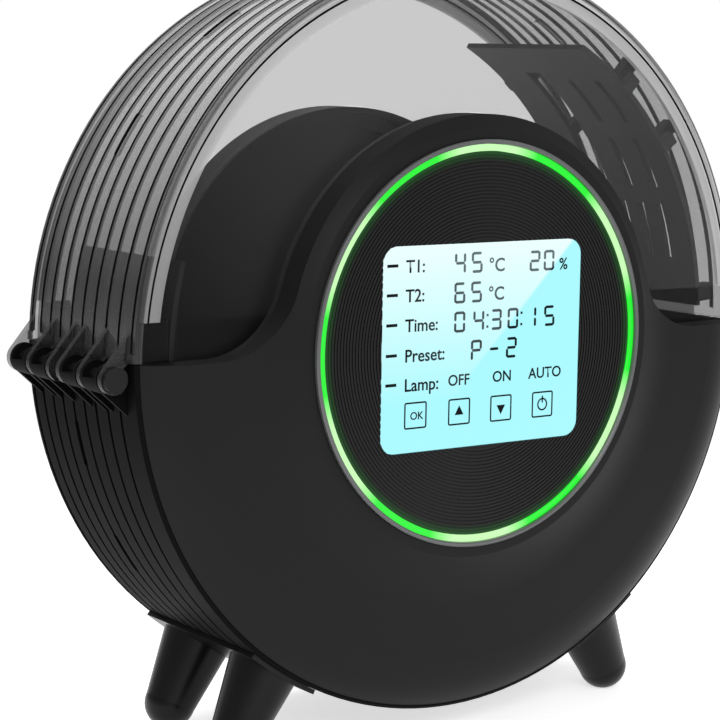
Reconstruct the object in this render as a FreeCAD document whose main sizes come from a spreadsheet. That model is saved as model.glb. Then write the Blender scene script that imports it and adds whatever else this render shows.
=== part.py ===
"""Round filament dryer box: a ribbed drum on four legs with a clear hinged lid and a round display.

Every piece is drawn about the drum's own axis, which runs along Y, with the front at -Y, the hinge
at -X and Z up. Each finished piece is then lifted by axis_height, so that the legs stand on Z = 0.
"""
import FreeCAD, Part
import os
import re
import Sketcher

Vector = FreeCAD.Vector

# Driving dimensions in millimetres, degrees and counts.
SIZES = {
    # The drum: a ribbed cylinder with bevelled ends, parted at the height of its axis.
    "drum_radius": 137.5,
    "drum_depth": 77.5,
    "floor_clearance": 9.5,
    "tub_wall": 2.4,
    "lid_wall": 2.2,
    "edge_chamfer": 1.0,
    "rim_land": 0.4,
    "rim_return": 4.0,
    "groove_pitch": 8.05,
    "groove_growth": 0.13,
    "groove_shift": 1.2,
    "groove_width": 1.4,
    "groove_depth": 0.9,
    "groove_sweep": 190.0,
    "crease_inset": 4.0,
    "crease_width": 0.8,
    "crease_depth": 0.6,
    # Filament slots, cut through the wall along one groove.
    "slot_width": 2.6,
    "slot_sweep": 7.0,
    # Clearances: lid to base, cover in its mouth, a seat, a running fit and a sideways gap; and how
    # far a cutter runs on past a face.
    "seam_gap": 0.4,
    "slip_gap": 0.15,
    "seat_gap": 0.05,
    "run_gap": 0.05,
    "side_gap": 0.5,
    "overrun": 1.0,
    # Front and rear covers: half discs that rise into a round dome.
    "cover_wall": 2.4,
    "cover_rise": 7.5,
    "cover_edge": 18.0,
    "cover_skirt": 3.4,
    "dome_margin": 5.0,
    "dome_fillet": 30.0,
    # Round display pod in the front dome.
    "pod_rise": 5.0,
    "pod_land": 3.75,
    "pod_blend": 18.0,
    "pod_bore": 74.25,
    "pod_recess": 4.0,
    "ledge_room": 3.84,
    "trim_width": 1.6,
    "trim_proud": 1.5,
    "ring_width": 2.4,
    "ring_wall": 0.45,
    "ring_skin": 1.4,
    "led_count": 24,
    "led_size": 1.3,
    "led_height": 1.0,
    "led_board_thick": 1.2,
    "led_board_width": 7.4,
    "face_thick": 2.55,
    "face_groove_count": 24,
    "face_groove_pitch": 1.28,
    "face_groove_width": 0.5,
    "face_groove_depth": 0.25,
    "window_width": 91.0,
    "window_height": 74.0,
    "window_corner": 6.0,
    "glass_recess": 0.3,
    "lcd_border": 2.5,
    "lcd_thick": 4.5,
    "board_height": 72.0,
    "board_thick": 1.6,
    "board_gap": 1.6,
    "board_inset": 6.0,
    "board_post": 3.0,
    "spacer_width": 20.0,
    "chip_width": 16.0,
    "chip_height": 1.6,
    "relay_length": 18.0,
    "relay_width": 12.0,
    "plug_length": 28.0,
    "plug_width": 7.0,
    "plug_height": 2.5,
    "tray_wall": 2.0,
    "tray_depth": 9.0,
    "tray_flange": 7.0,
    # Rear dome, vents and power inlet.
    "rear_rise": 6.5,
    "vent_count": 7,
    "vent_pitch": 9.0,
    "vent_width": 3.0,
    "vent_height": 16.0,
    "vent_inset": 33.5,
    "jack_across": 62.0,
    "jack_inset": 53.5,
    "jack_radius": 5.6,
    "jack_socket": 3.2,
    "jack_pin": 1.0,
    "jack_flange": 8.0,
    "jack_flange_thick": 1.8,
    "jack_sink": 0.4,
    "jack_depth": 12.0,
    "socket_depth": 9.0,
    # Hinge on the left, its axis along Y, and the snap tongue on the right.
    "hinge_stand": 5.5,
    "hinge_drop": 5.0,
    "hinge_margin": 11.5,
    "pin_radius": 3.0,
    "pin_head": 4.4,
    "pin_head_thick": 1.2,
    "knuckle_radius": 5.4,
    "gusset_radius": 5.2,
    "gusset_thick": 2.4,
    "gusset_rise": 11.0,
    "fin_thick": 1.6,
    "fin_drop": 18.0,
    "fin_lean": 37.0,
    "lip_height": 14.0,
    "lip_wall": 1.8,
    "bead_height": 3.0,
    "bead_proud": 0.6,
    "tongue_width": 24.0,
    "tongue_wall": 2.2,
    "tongue_rise": 13.0,
    "tongue_drop": 13.5,
    "tongue_stand": 1.8,
    "catch_width": 20.0,
    "catch_proud": 1.3,
    "catch_drop": 3.9,
    "catch_slope": 2.2,
    "catch_height": 3.2,
    # Slotted liner round the spool, in the base, and the slotted deflector on the lid above it.
    "liner_inset": 15.0,
    "liner_wall": 2.0,
    "liner_end_gap": 3.75,
    "liner_left_end": 164.0,
    "liner_right_end": 356.0,
    "slit_columns": 5,
    "slit_pitch": 12.5,
    "slit_width": 3.6,
    "slit_sweep": 15.0,
    "slit_rows": 9,
    "slit_row_pitch": 21.0,
    "deflector_low_end": 3.0,
    "deflector_high_end": 62.0,
    "deflector_slit_sweep": 11.0,
    "deflector_slit_pitch": 10.5,
    "deflector_slit_width": 3.0,
    "window_slit_width": 9.0,
    "window_slit_sweep": 26.0,
    "window_slit_angle": 40.5,
    "window_slit_offset": 11.5,
    "clip_width": 5.0,
    "clip_depth": 5.0,
    "clip_end_gap": 8.25,
    "tab_depth": 3.2,
    "tab_reach": 1.2,
    "liner_rib_thick": 3.0,
    "rib_end_gap": 5.0,
    # Screw posts of the front cover and the rear screws.
    "post_bite": 0.6,
    "post_radius": 3.8,
    "screw_radius": 1.5,
    "screw_head": 3.0,
    "screw_head_thick": 1.8,
    "screw_length": 10.0,
    "boss_height": 4.6,
    # Heater under the liner.
    "heater_gap": 4.0,
    "heater_wall": 1.5,
    "heater_film": 0.6,
    "heater_sweep": 42.0,
    "heater_end_gap": 9.0,
    "film_margin": 2.0,
    "film_glue": 0.15,
    # Spool rollers and their axles.
    "spool_room": 22.5,
    "roller_radius": 9.0,
    "roller_width": 12.0,
    "roller_angle": 30.0,
    "roller_groove": 1.2,
    "axle_radius": 2.5,
    "bracket_thick": 3.0,
    "bracket_end_gap": 4.5,
    "bracket_sweep": 82.0,
    "bracket_depth": 17.0,
    # Humidity sensor board.
    "sensor_angle": 200.5,
    "sensor_length": 20.0,
    "sensor_width": 10.0,
    "sensor_board": 1.2,
    "sensor_cap": 2.2,
    "sensor_stand": 3.0,
    # Legs.
    "saddle_sweep": 13.0,
    "saddle_wall": 1.8,
    "saddle_end_gap": 2.25,
    "saddle_angle": 236.7,
    "leg_end_gap": 15.75,
    "leg_tilt": 27.0,
    "leg_top": 13.5,
    "leg_tip": 9.5,
    "leg_flat": 0.6,
}

# Places along the hinge, in bays: six lid gussets with a close pair in the middle, and the base
# knuckles between them.
GUSSET_BAYS = (-2.25, -1.25, -0.25, 0.25, 1.25, 2.25)
KNUCKLE_BAYS = (-1.75, -0.75, 0.75, 1.75)

# Sizes that follow from the ones above, so that the pieces keep together.
DERIVED = {
    "axis_height": "drum_radius + floor_clearance",
    "crease_radius": "drum_radius - crease_inset",
    "dome_radius": "pod_bore + pod_land + dome_margin",
    "lcd_width": "window_width + 2 * lcd_border",
    "lcd_height": "window_height + 2 * lcd_border",
    "board_width": "lcd_width",
    "ledge_radius": "sqrt(lcd_width ^ 2 + lcd_height ^ 2) / 2 + ledge_room",
    "vent_drop": "drum_radius - vent_inset",
    "jack_drop": "drum_radius - jack_inset",
    "hinge_across": "drum_radius + hinge_stand",
    "gusset_bay": f"(drum_depth - hinge_margin) / {GUSSET_BAYS[-1] - GUSSET_BAYS[0]}",
    "liner_radius": "drum_radius - liner_inset",
    "liner_depth": "drum_depth - 2 * liner_end_gap",
    "liner_rib_depth": "liner_depth - 2 * rib_end_gap",
    "heater_depth": "liner_depth - 2 * heater_end_gap",
    "post_circle": ("drum_radius - edge_chamfer - rim_land - slip_gap - cover_wall"
                    " - post_radius + post_bite"),
    "spool_radius": "liner_radius - spool_room",
    "bracket_offset": "liner_depth / 2 - bracket_end_gap",
    "roller_offset": "bracket_offset - bracket_thick / 2 - side_gap * 2 - roller_width / 2",
    "saddle_depth": "drum_depth - 2 * saddle_end_gap",
    "leg_spread": "drum_depth / 2 - leg_end_gap",
}

# Directions in degrees, anticlockwise from +X as seen from the front.
POST_ANGLES = (195, 225, 315, 345)
LINER_RIB_ANGLES = (188, 206, 334, 352)
HEATER_RIB_ANGLES = (253, 287)
LID_SLOT_ANGLES = (33, 56, 124, 147)
TUB_SLOT_ANGLES = (194, 213, 327, 346)
DEFLECTOR_SLITS = ((17, (-2, -1, 0, 1)), (31, (-2.1, -0.7, 0.7)), (46, (-2.2, -0.7)))
CLIP_ANGLES = (5, 35, 49)
POD_SCREW_ANGLES = (0, 60, 120, 180, 240, 300)

# Blocks on the rear of the main board: name, place as shares of the board, and sizes.
BOARD_BLOCKS = (
    ("chip", 0.0, 0.03, "chip_width", "chip_width", "chip_height"),
    ("relay", 0.3, -0.25, "relay_length", "relay_width", "plug_height"),
    ("plug_row", -0.2, -0.37, "plug_length", "plug_width", "plug_height"),
)

# The four legs by name, with the side -1 left or +1 right and the place along the drum.
LEG_PLACES = (
    ("left_front", -1, "-leg_spread"),
    ("left_rear", -1, "leg_spread"),
    ("right_front", 1, "-leg_spread"),
    ("right_rear", 1, "leg_spread"),
)

# Grooves round the drum, counted from its middle towards the front; they widen out that way.
LID_GROOVES = (-5, -4, -3, -2, -1, 0, 1, 2, 3, 4)
TUB_GROOVES = (-5, -4, -3, -2, -1, 0, 1, 2, 3)
SLOT_GROOVE = -1

# Distances along Y that several pieces share, as expressions of the sizes above.
FRONT = "-drum_depth / 2"
REAR = "drum_depth / 2"
MOUTH = "(drum_radius - edge_chamfer - rim_land)"
COVER_RIM = "(drum_radius - edge_chamfer - rim_land - slip_gap)"
RISE_ARC = "((cover_rise ^ 2 + cover_edge ^ 2) / (2 * cover_rise))"
POD_ARC = "((pod_rise ^ 2 + pod_blend ^ 2) / (2 * pod_rise))"
REAR_ARC = "((rear_rise ^ 2 + pod_blend ^ 2) / (2 * rear_rise))"
POD_FACE = "(drum_depth / 2 + cover_rise + pod_rise)"
LEDGE = "(drum_depth / 2 + cover_rise + pod_rise - pod_recess)"
LED_FACE = "(drum_depth / 2 + cover_rise + pod_rise - pod_recess + led_board_thick)"
RING_OUT = "(pod_bore - slip_gap - trim_width - slip_gap)"
FACE_RADIUS = "(pod_bore - 3 * slip_gap - trim_width - ring_width)"
SKIRT_REAR = "(drum_depth / 2 - cover_skirt)"
SCREW_SEAT = "(drum_depth / 2 - cover_skirt + boss_height)"
BOARD_REAR = ("(drum_depth / 2 + cover_rise + pod_rise - pod_recess + led_board_thick"
              " - seat_gap - lcd_thick - board_gap - board_thick)")
TRAY_SEAT = "(drum_depth / 2 + cover_rise - cover_wall)"
ROLLER_CIRCLE = "(spool_radius + roller_radius)"

doc = FreeCAD.newDocument("FilamentDryer")
sheet = doc.addObject("Spreadsheet::Sheet", "Dims")
cells = {alias: str(size) for alias, size in SIZES.items()}
cells.update({alias: f"={text}" for alias, text in DERIVED.items()})
for row, (alias, content) in enumerate(cells.items(), start=1):
    sheet.set(f"A{row}", alias)
    sheet.set(f"B{row}", content)
    sheet.setAlias(f"B{row}", alias)
doc.recompute()

NODES = []


def linked(text):
    """Expression text with each size name pointed at its cell of the sheet."""
    return re.sub(r"[a-z]\w*", lambda word: f"Dims.{word[0]}" if word[0] in cells else word[0], text)


def number(text):
    """Present value of an expression."""
    return float(sheet.evalExpression(linked(text)))


def bind(thing, **expressions):
    """Tie properties of a document object to expressions; a double underscore stands for a dot."""
    for name, text in expressions.items():
        thing.setExpression(name.replace("__", "."), linked(text))
    return thing


def node(thing, label):
    """Name a finished piece and lift it from the drum's axis to its height over the floor."""
    thing.Label = label
    bind(thing, Placement__Base__z="axis_height")
    NODES.append(thing)
    return thing


def polar(radius, angle):
    """X and Z expressions of a point at a radius and direction about the drum's axis."""
    return f"({radius}) * cos({angle})", f"({radius}) * sin({angle})"


# Sketches


def outline(sketch, corners):
    """Close an outline through corners, each placed by expressions from the sketch's origin.

    A corner (x, y) starts a straight run. A corner (x, y, radius, centre_x, centre_y, turn) starts an
    arc, with turn +1 for anticlockwise and -1 for clockwise.
    """
    spots = [Vector(number(corner[0]), number(corner[1]), 0) for corner in corners]
    first = sketch.GeometryCount
    count = len(corners)
    ends = []
    for index, corner in enumerate(corners):
        start, stop = spots[index], spots[(index + 1) % count]
        if len(corner) == 2:
            sketch.addGeometry(Part.LineSegment(start, stop), False)
            ends.append((1, 2))
            continue
        centre = Vector(number(corner[3]), number(corner[4]), 0)
        if corner[5] < 0:
            start, stop = stop, start
        ring = Part.Circle(centre, Vector(0, 0, 1), number(corner[2]))
        sketch.addGeometry(Part.ArcOfCircle(ring, ring.parameter(start), ring.parameter(stop)), False)
        ends.append((1, 2) if corner[5] > 0 else (2, 1))
    for index in range(count):
        after = (index + 1) % count
        sketch.addConstraint(Sketcher.Constraint(
            "Coincident", first + index, ends[index][1], first + after, ends[after][0]))
    for index, corner in enumerate(corners):
        place = (first + index, ends[index][0])
        measure(sketch, Sketcher.Constraint("DistanceX", -1, 1, *place, spots[index].x), corner[0])
        measure(sketch, Sketcher.Constraint("DistanceY", -1, 1, *place, spots[index].y), corner[1])
        if len(corner) > 2:
            measure(sketch, Sketcher.Constraint("Radius", first + index, number(corner[2])), corner[2])
    return sketch


def measure(sketch, constraint, text):
    """Add one driving constraint and tie it to an expression."""
    index = sketch.addConstraint(constraint)
    sketch.setExpression(f"Constraints[{index}]", linked(text))


def circle(sketch, across, up, radius):
    """A full circle whose centre and radius are expressions."""
    centre = Vector(number(across), number(up), 0)
    index = sketch.addGeometry(Part.Circle(centre, Vector(0, 0, 1), number(radius)), False)
    measure(sketch, Sketcher.Constraint("DistanceX", -1, 1, index, 3, centre.x), across)
    measure(sketch, Sketcher.Constraint("DistanceY", -1, 1, index, 3, centre.y), up)
    measure(sketch, Sketcher.Constraint("Radius", index, number(radius)), radius)
    return sketch


def box_corners(left, low, right, high):
    """Corners of an upright rectangle."""
    return [(left, low), (right, low), (right, high), (left, high)]


def rounded_box(width, height, corner):
    """Corners and corner arcs of a rectangle about the sketch's origin."""
    half_w, half_h = f"({width}) / 2", f"({height}) / 2"
    in_w, in_h = f"(({width}) / 2 - ({corner}))", f"(({height}) / 2 - ({corner}))"
    return [
        (f"-{in_w}", f"-{half_h}"),
        (in_w, f"-{half_h}", corner, in_w, f"-{in_h}", 1),
        (half_w, f"-{in_h}"),
        (half_w, in_h, corner, in_w, in_h, 1),
        (in_w, half_h),
        (f"-{in_w}", half_h, corner, f"-{in_w}", in_h, 1),
        (f"-{half_w}", in_h),
        (f"-{half_w}", f"-{in_h}", corner, f"-{in_w}", f"-{in_h}", 1),
    ]


def base_outline(rim, inset):
    """Front view of the base: half a disc below the parting line and a dome that rises from it.

    Fillets of dome_fillet lead from the parting line into the dome. A positive inset draws the
    outline that much smaller all round, and a negative one larger.
    """
    dome, fillet = f"(dome_radius - ({inset}))", f"(dome_fillet + ({inset}))"
    level = f"(-({inset}))"
    middle_z = f"({level} + {fillet})"
    middle_x = f"sqrt(({dome} + {fillet}) ^ 2 - {middle_z} ^ 2)"
    share = f"{dome} / ({dome} + {fillet})"
    reach = f"sqrt(({rim}) ^ 2 - {level} ^ 2)"
    return [
        (f"-{reach}", level, rim, "0", "0", 1),
        ("0", f"-({rim})", rim, "0", "0", 1),
        (reach, level),
        (middle_x, level, fillet, middle_x, middle_z, -1),
        (f"{middle_x} * {share}", f"{middle_z} * {share}", dome, "0", "0", 1),
        (f"-{middle_x} * {share}", f"{middle_z} * {share}", fillet, f"-{middle_x}", middle_z, -1),
        (f"-{middle_x}", level),
    ]


# Bodies and features


def body(label):
    """A new body with its own origin planes."""
    return doc.addObject("PartDesign::Body", label)


def sketch_on(owner, name, role, offset="0", turn=0):
    """Sketch on an origin plane of its own body, moved along the plane's normal or turned about its X."""
    sketch = owner.newObject("Sketcher::SketchObject", name)
    plane = next(item for item in owner.Origin.OriginFeatures if item.Role == role)
    sketch.AttachmentSupport = [(plane, "")]
    sketch.MapMode = "FlatFace"
    sketch.AttachmentOffset = FreeCAD.Placement(Vector(), FreeCAD.Rotation(Vector(1, 0, 0), turn))
    bind(sketch, AttachmentOffset__Base__z=offset)
    return sketch


def across(owner, name, corners, y="0"):
    """Sketch in a plane square to the drum's axis at a distance y along it."""
    return outline(sketch_on(owner, name, "XZ_Plane", f"-({y})"), corners)


def feature(owner, kind, name, sketch):
    """One sketch-based feature, added to the end of its body."""
    made = owner.newObject(f"PartDesign::{kind}", name)
    made.Profile = sketch
    return made


def pad(owner, name, sketch, length, midplane=False, reverse=False):
    """Pad towards the front, or both ways, or towards the rear with reverse."""
    made = feature(owner, "Pad", name, sketch)
    made.Midplane = midplane
    made.Reversed = reverse
    return bind(made, Length=length)


def cut(owner, name, sketch, length):
    """Pocket of a total length, half to each side of its sketch."""
    made = feature(owner, "Pocket", name, sketch)
    made.Midplane = True
    return bind(made, Length=length)


def turned(owner, name, sketch, angle="360", kind="Revolution"):
    """Revolve a profile about the drum's axis, half of the angle to each side of its sketch."""
    made = feature(owner, kind, name, sketch)
    made.ReferenceAxis = (sketch, ["H_Axis"])
    made.Midplane = True
    return bind(made, Angle=angle)


def profile(owner, name, corners, turn=0):
    """Sketch of a turned profile: first coordinate along the drum's axis, second along the radius."""
    return outline(sketch_on(owner, name, "YZ_Plane", turn=turn), corners)


def repeated(owner, name, source, axis, count, angle):
    """Repeat one feature about an axis and make the result the body's tip."""
    made = owner.newObject("PartDesign::PolarPattern", name)
    made.Originals = [source]
    made.Axis = axis
    owner.Tip = made
    return bind(made, Occurrences=count, Angle=angle)


def turned_body(label, corners):
    """A round piece that is one full turn of a profile."""
    owner = body(label)
    turned(owner, f"{label}_turn", profile(owner, f"{label}_profile", corners))
    return node(owner, label)


# Primitives and booleans


def solid_turn(name, corners):
    """Loose turned solid about the drum's axis, for booleans."""
    sketch = doc.addObject("Sketcher::SketchObject", f"{name}_profile")
    sketch.Placement = FreeCAD.Placement(Vector(), FreeCAD.Rotation(Vector(1, 1, 1), 120))
    outline(sketch, corners)
    made = doc.addObject("Part::Revolution", name)
    made.Source = sketch
    made.Axis = Vector(0, 1, 0)
    made.Solid = True
    return made


def solid_prism(name, corners, y_from, length):
    """Loose prism along Y of an outline drawn square to the drum's axis, for booleans."""
    sketch = doc.addObject("Sketcher::SketchObject", f"{name}_outline")
    sketch.Placement = FreeCAD.Placement(Vector(), FreeCAD.Rotation(Vector(1, 0, 0), 90))
    bind(sketch, Placement__Base__y=y_from)
    outline(sketch, corners)
    made = doc.addObject("Part::Extrusion", name)
    made.Base = sketch
    made.DirMode = "Custom"
    made.Dir = Vector(0, 1, 0)
    made.Solid = True
    return bind(made, LengthFwd=length)


def slab(name, corners, middle, width):
    """Loose prism of an outline, centred on a distance along Y."""
    return solid_prism(name, corners, f"({middle}) - ({width}) / 2", width)


def boolean(kind, name, base, tool):
    """Part boolean of two objects."""
    made = doc.addObject(f"Part::{kind}", name)
    made.Base = base
    made.Tool = tool
    return made


def fused(name, shapes):
    """Union of several objects."""
    made = doc.addObject("Part::MultiFuse", name)
    made.Shapes = shapes
    return made


def group(label, shapes):
    """Separate solids that share one node."""
    made = doc.addObject("Part::Compound", label)
    made.Links = shapes
    return node(made, label)


def rod(name, radius, length, x, y, z):
    """Cylinder that starts at a point and runs along Y."""
    made = doc.addObject("Part::Cylinder", name)
    made.Placement.Rotation = FreeCAD.Rotation(Vector(1, 0, 0), -90)
    bind(made, Placement__Base__x=x, Placement__Base__y=y, Placement__Base__z=z)
    return bind(made, Radius=radius, Height=length)


# Drum


def groove_place(count):
    """Distance along Y of one groove, counted from the middle towards the front."""
    return f"(-groove_shift - {count} * groove_pitch - {count * count} * groove_growth)"


def grooved(owner, side, counts):
    """Cut the row of fine grooves round the outside of a half drum."""
    sketch = sketch_on(owner, "groove_profile", "YZ_Plane")
    for count in counts:
        outline(sketch, box_corners(
            f"{groove_place(count)} - groove_width / 2", f"{side} * (drum_radius - groove_depth)",
            f"{groove_place(count)} + groove_width / 2", f"{side} * (drum_radius + groove_depth)"))
    turned(owner, "grooves", sketch, "groove_sweep", "Groove")


def filament_slots(owner, angles):
    """Cut slots through the wall along one groove, one at each direction."""
    middle = groove_place(SLOT_GROOVE)
    corners = box_corners(f"{middle} - slot_width / 2", "drum_radius - 2 * tub_wall",
                          f"{middle} + slot_width / 2", "drum_radius + tub_wall")
    for angle in angles:
        sketch = profile(owner, f"slot_{angle}_profile", corners, turn=90 - angle)
        turned(owner, f"slot_{angle}", sketch, "slot_sweep", "Groove")


def base_tub():
    """Lower half of the drum: ribbed wall with hinge knuckles, inner lip, latch catch and ribs."""
    wall = body("tub_wall_shell")
    inner = "(drum_radius - tub_wall)"
    corners = [
        (FRONT, f"-{MOUTH}"),
        (FRONT, "-(drum_radius - edge_chamfer)"),
        (f"{FRONT} + edge_chamfer", "-drum_radius"),
        (f"{REAR} - edge_chamfer", "-drum_radius"),
        (REAR, "-(drum_radius - edge_chamfer)"),
        (REAR, f"-{MOUTH}"),
        (f"{REAR} - rim_return", f"-{MOUTH}"),
        (f"{REAR} - rim_return", f"-{inner}"),
        (f"{FRONT} + rim_return", f"-{inner}"),
        (f"{FRONT} + rim_return", f"-{MOUTH}"),
    ]
    turned(wall, "wall", profile(wall, "wall_profile", corners), "180")
    grooved(wall, -1, TUB_GROOVES)
    filament_slots(wall, TUB_SLOT_ANGLES)
    whole = fused("tub_blank", [wall, tub_catch()] + tub_lip() + tub_ribs() + tub_hinge())
    holes = [screw_axis(f"tub_hole_{name}", side, y, "screw_radius + slip_gap",
                        "drum_radius - 2 * tub_wall", "3 * tub_wall") for name, side, y in LEG_PLACES]
    cutter = fused("tub_cutter", [pin_bore("tub_bore")] + holes)
    return node(boolean("Cut", "base_tub", whole, cutter), "base_tub")


def pin_bore(name):
    """Running bore for the hinge pin, as long as the drum is deep."""
    return rod(name, "pin_radius + run_gap", "drum_depth", "-hinge_across", FRONT, "-hinge_drop")


def radial_rib(name, angle, inner, outer, thick, depth, middle="0"):
    """Rib along a radius of the drum, centred on a distance along Y."""
    side_x, side_z = f"{thick} / 2 * sin({angle})", f"{thick} / 2 * cos({angle})"
    near, far = polar(inner, angle), polar(outer, angle)
    corners = [
        (f"{near[0]} + {side_x}", f"{near[1]} - {side_z}"),
        (f"{far[0]} + {side_x}", f"{far[1]} - {side_z}"),
        (f"{far[0]} - {side_x}", f"{far[1]} + {side_z}"),
        (f"{near[0]} - {side_x}", f"{near[1]} + {side_z}"),
    ]
    return slab(name, corners, middle, depth)


def tub_ribs():
    """Inner ribs that carry the liner, lower ones for the heater and a stand for the sensor."""
    outer = "drum_radius - tub_wall / 2"
    ribs = [radial_rib(f"liner_rib_{angle}", angle, "liner_radius + seat_gap", outer,
                       "liner_rib_thick", "liner_rib_depth") for angle in LINER_RIB_ANGLES]
    heater_under = "liner_radius + heater_gap + heater_wall + film_glue + heater_film + seat_gap"
    ribs += [radial_rib(f"heater_rib_{angle}", angle, heater_under, outer,
                        "liner_rib_thick", "heater_depth") for angle in HEATER_RIB_ANGLES]
    stand = radial_rib("sensor_stand_block", "sensor_angle", "drum_radius - tub_wall - sensor_stand", outer,
                       "sensor_width / 2", "sensor_length / 2")
    return ribs + [stand]


def tub_lip():
    """Lip that stands up inside the hinge side of the lid, with a short return at each end."""
    wall = "drum_radius - tub_wall / 2"
    outer = "drum_radius - lid_wall - lip_wall"
    reach = "drum_depth - 2 * (cover_skirt + slip_gap)"
    corners = [
        (f"-({wall})", "-lip_height / 2"),
        (f"-({outer} - lip_wall)", "-lip_height / 2"),
        (f"-({outer} - lip_wall)", "lip_height"),
        (f"-({outer})", "lip_height"),
        (f"-({outer})", "0"),
        (f"-({wall})", "-seam_gap"),
    ]
    pieces = [slab("lip", corners, "0", "liner_rib_depth")]
    across_lip = box_corners(f"-({outer})", "seam_gap", f"-({outer} - lip_wall)", "lip_height")
    pieces.append(slab("lip_top", across_lip, "0", reach))
    end = box_corners(f"-({outer})", "seam_gap", "-(liner_radius + side_gap)", "lip_height")
    for side, place in ((-1, "front"), (1, "rear")):
        pieces.append(slab(f"lip_{place}", end, f"{side} * ({reach} - lip_wall) / 2", "lip_wall"))
    return pieces


def tub_hinge():
    """Four troughs under the pin, each with a hook over it at both ends and a fin under each hook."""
    width = "(gusset_bay - gusset_thick - 2 * side_gap)"
    root = "-(drum_radius - tub_wall / 2)"
    bridge = box_corners("-hinge_across", "-hinge_drop - knuckle_radius",
                         root, "-hinge_drop - pin_radius / 2")
    about_pin = ("knuckle_radius", "-hinge_across", "-hinge_drop", 1)
    trough = [
        ("-hinge_across - knuckle_radius", "-hinge_drop", *about_pin),
        ("-hinge_across", "-hinge_drop - knuckle_radius", *about_pin),
        ("-hinge_across + knuckle_radius", "-hinge_drop"),
    ]
    fin = [
        ("-hinge_across - knuckle_radius * cos(fin_lean)", "-hinge_drop - knuckle_radius * sin(fin_lean)"),
        (root, "-fin_drop"),
        (root, "-hinge_drop - pin_radius"),
    ]
    pieces = []
    for index, share in enumerate(KNUCKLE_BAYS):
        y = f"{share} * gusset_bay"
        pieces.append(slab(f"trough_{index}", trough, y, width))
        pieces.append(slab(f"bridge_{index}", bridge, y, width))
        for side, end in ((-1, "front"), (1, "rear")):
            place = f"{y} + {side} * ({width} - fin_thick) / 2"
            pieces.append(slab(f"fin_{index}_{end}", fin, place, "fin_thick"))
            pieces.append(rod(f"hook_{index}_{end}", "knuckle_radius", "fin_thick", "-hinge_across",
                              f"{place} - fin_thick / 2", "-hinge_drop"))
    return pieces


def tub_catch():
    """Ridge on the right-hand side, just inside the lid's tongue."""
    corners = [
        ("drum_radius - tub_wall / 2", "-catch_drop"),
        ("drum_radius + catch_proud", "-catch_drop - catch_slope"),
        ("drum_radius + catch_proud", "-catch_drop - catch_slope - catch_height"),
        ("drum_radius - tub_wall / 2", "-catch_drop - 2 * catch_slope - catch_height"),
    ]
    return slab("catch", corners, "0", "catch_width")


def lid_shell():
    """Clear upper half of the drum, with end plates cut round the dome, gussets and a tongue."""
    shell = body("lid_shell_wall")
    inner = "(drum_radius - lid_wall)"
    corners = [
        (FRONT, "0"),
        (f"{FRONT} + lid_wall", "0"),
        (f"{FRONT} + lid_wall", f"{inner} - edge_chamfer"),
        (f"{FRONT} + lid_wall + edge_chamfer", inner),
        (f"{REAR} - lid_wall - edge_chamfer", inner),
        (f"{REAR} - lid_wall", f"{inner} - edge_chamfer"),
        (f"{REAR} - lid_wall", "0"),
        (REAR, "0"),
        (REAR, "crease_radius - crease_width / 2"),
        (f"{REAR} - crease_depth", "crease_radius"),
        (REAR, "crease_radius + crease_width / 2"),
        (REAR, "drum_radius - edge_chamfer"),
        (f"{REAR} - edge_chamfer", "drum_radius"),
        (f"{FRONT} + edge_chamfer", "drum_radius"),
        (FRONT, "drum_radius - edge_chamfer"),
        (FRONT, "crease_radius + crease_width / 2"),
        (f"{FRONT} + crease_depth", "crease_radius"),
        (FRONT, "crease_radius - crease_width / 2"),
    ]
    turned(shell, "shell", profile(shell, "shell_profile", corners), "180")
    grooved(shell, 1, LID_GROOVES)
    filament_slots(shell, LID_SLOT_ANGLES)
    opening = across(shell, "opening_section", base_outline("drum_radius + edge_chamfer", "-seam_gap"))
    cut(shell, "opening", opening, "drum_depth * 2")
    whole = fused("lid_blank", [shell, lid_tongue()] + lid_beads() + lid_gussets())
    return node(boolean("Cut", "lid_shell", whole, pin_bore("lid_bore")), "lid_shell")


def lid_beads():
    """Thickened lower edge on each side of the lid."""
    beads = []
    for side, hand in ((-1, "left"), (1, "right")):
        corners = [
            (f"{side} * (drum_radius - lid_wall / 2)", "seam_gap"),
            (f"{side} * (drum_radius + bead_proud)", "seam_gap"),
            (f"{side} * (drum_radius + bead_proud)", "seam_gap + bead_height"),
            (f"{side} * (drum_radius - lid_wall / 2)", "seam_gap + bead_height + bead_proud"),
        ]
        beads.append(slab(f"{hand}_bead", corners, "0", "drum_depth - 2 * edge_chamfer"))
    return beads


def lid_gussets():
    """Six triangular gussets that end in rings round the hinge pin."""
    wall = "-(drum_radius - lid_wall / 2)"
    side, up = "gusset_radius * cos(45)", "-hinge_drop + gusset_radius * sin(45)"
    corners = [
        (wall, "seam_gap + bead_height / 2"),
        (wall, "gusset_rise"),
        (f"-hinge_across - {side}", up, "gusset_radius", "-hinge_across", "-hinge_drop", 1),
        (f"-hinge_across + {side}", up),
    ]
    return [slab(f"gusset_{index}", corners, f"{share} * gusset_bay", "gusset_thick")
            for index, share in enumerate(GUSSET_BAYS)]


def lid_tongue():
    """Tongue opposite the hinge, hanging just clear of the base, with a lift edge at its foot."""
    wall = "drum_radius - lid_wall / 2"
    near = "drum_radius + tongue_stand"
    far = "drum_radius + tongue_stand + tongue_wall"
    reach = "hinge_across + knuckle_radius"
    corners = [
        (wall, "seam_gap + bead_height"),
        (near, "seam_gap + bead_height"),
        (near, "-tongue_drop"),
        (reach, "-tongue_drop"),
        (reach, "-tongue_drop + tongue_wall"),
        (far, "-tongue_drop + 2 * tongue_wall"),
        (far, "tongue_rise - 2 * tongue_wall"),
        (wall, "tongue_rise"),
    ]
    return slab("tongue", corners, "0", "tongue_width")


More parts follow.
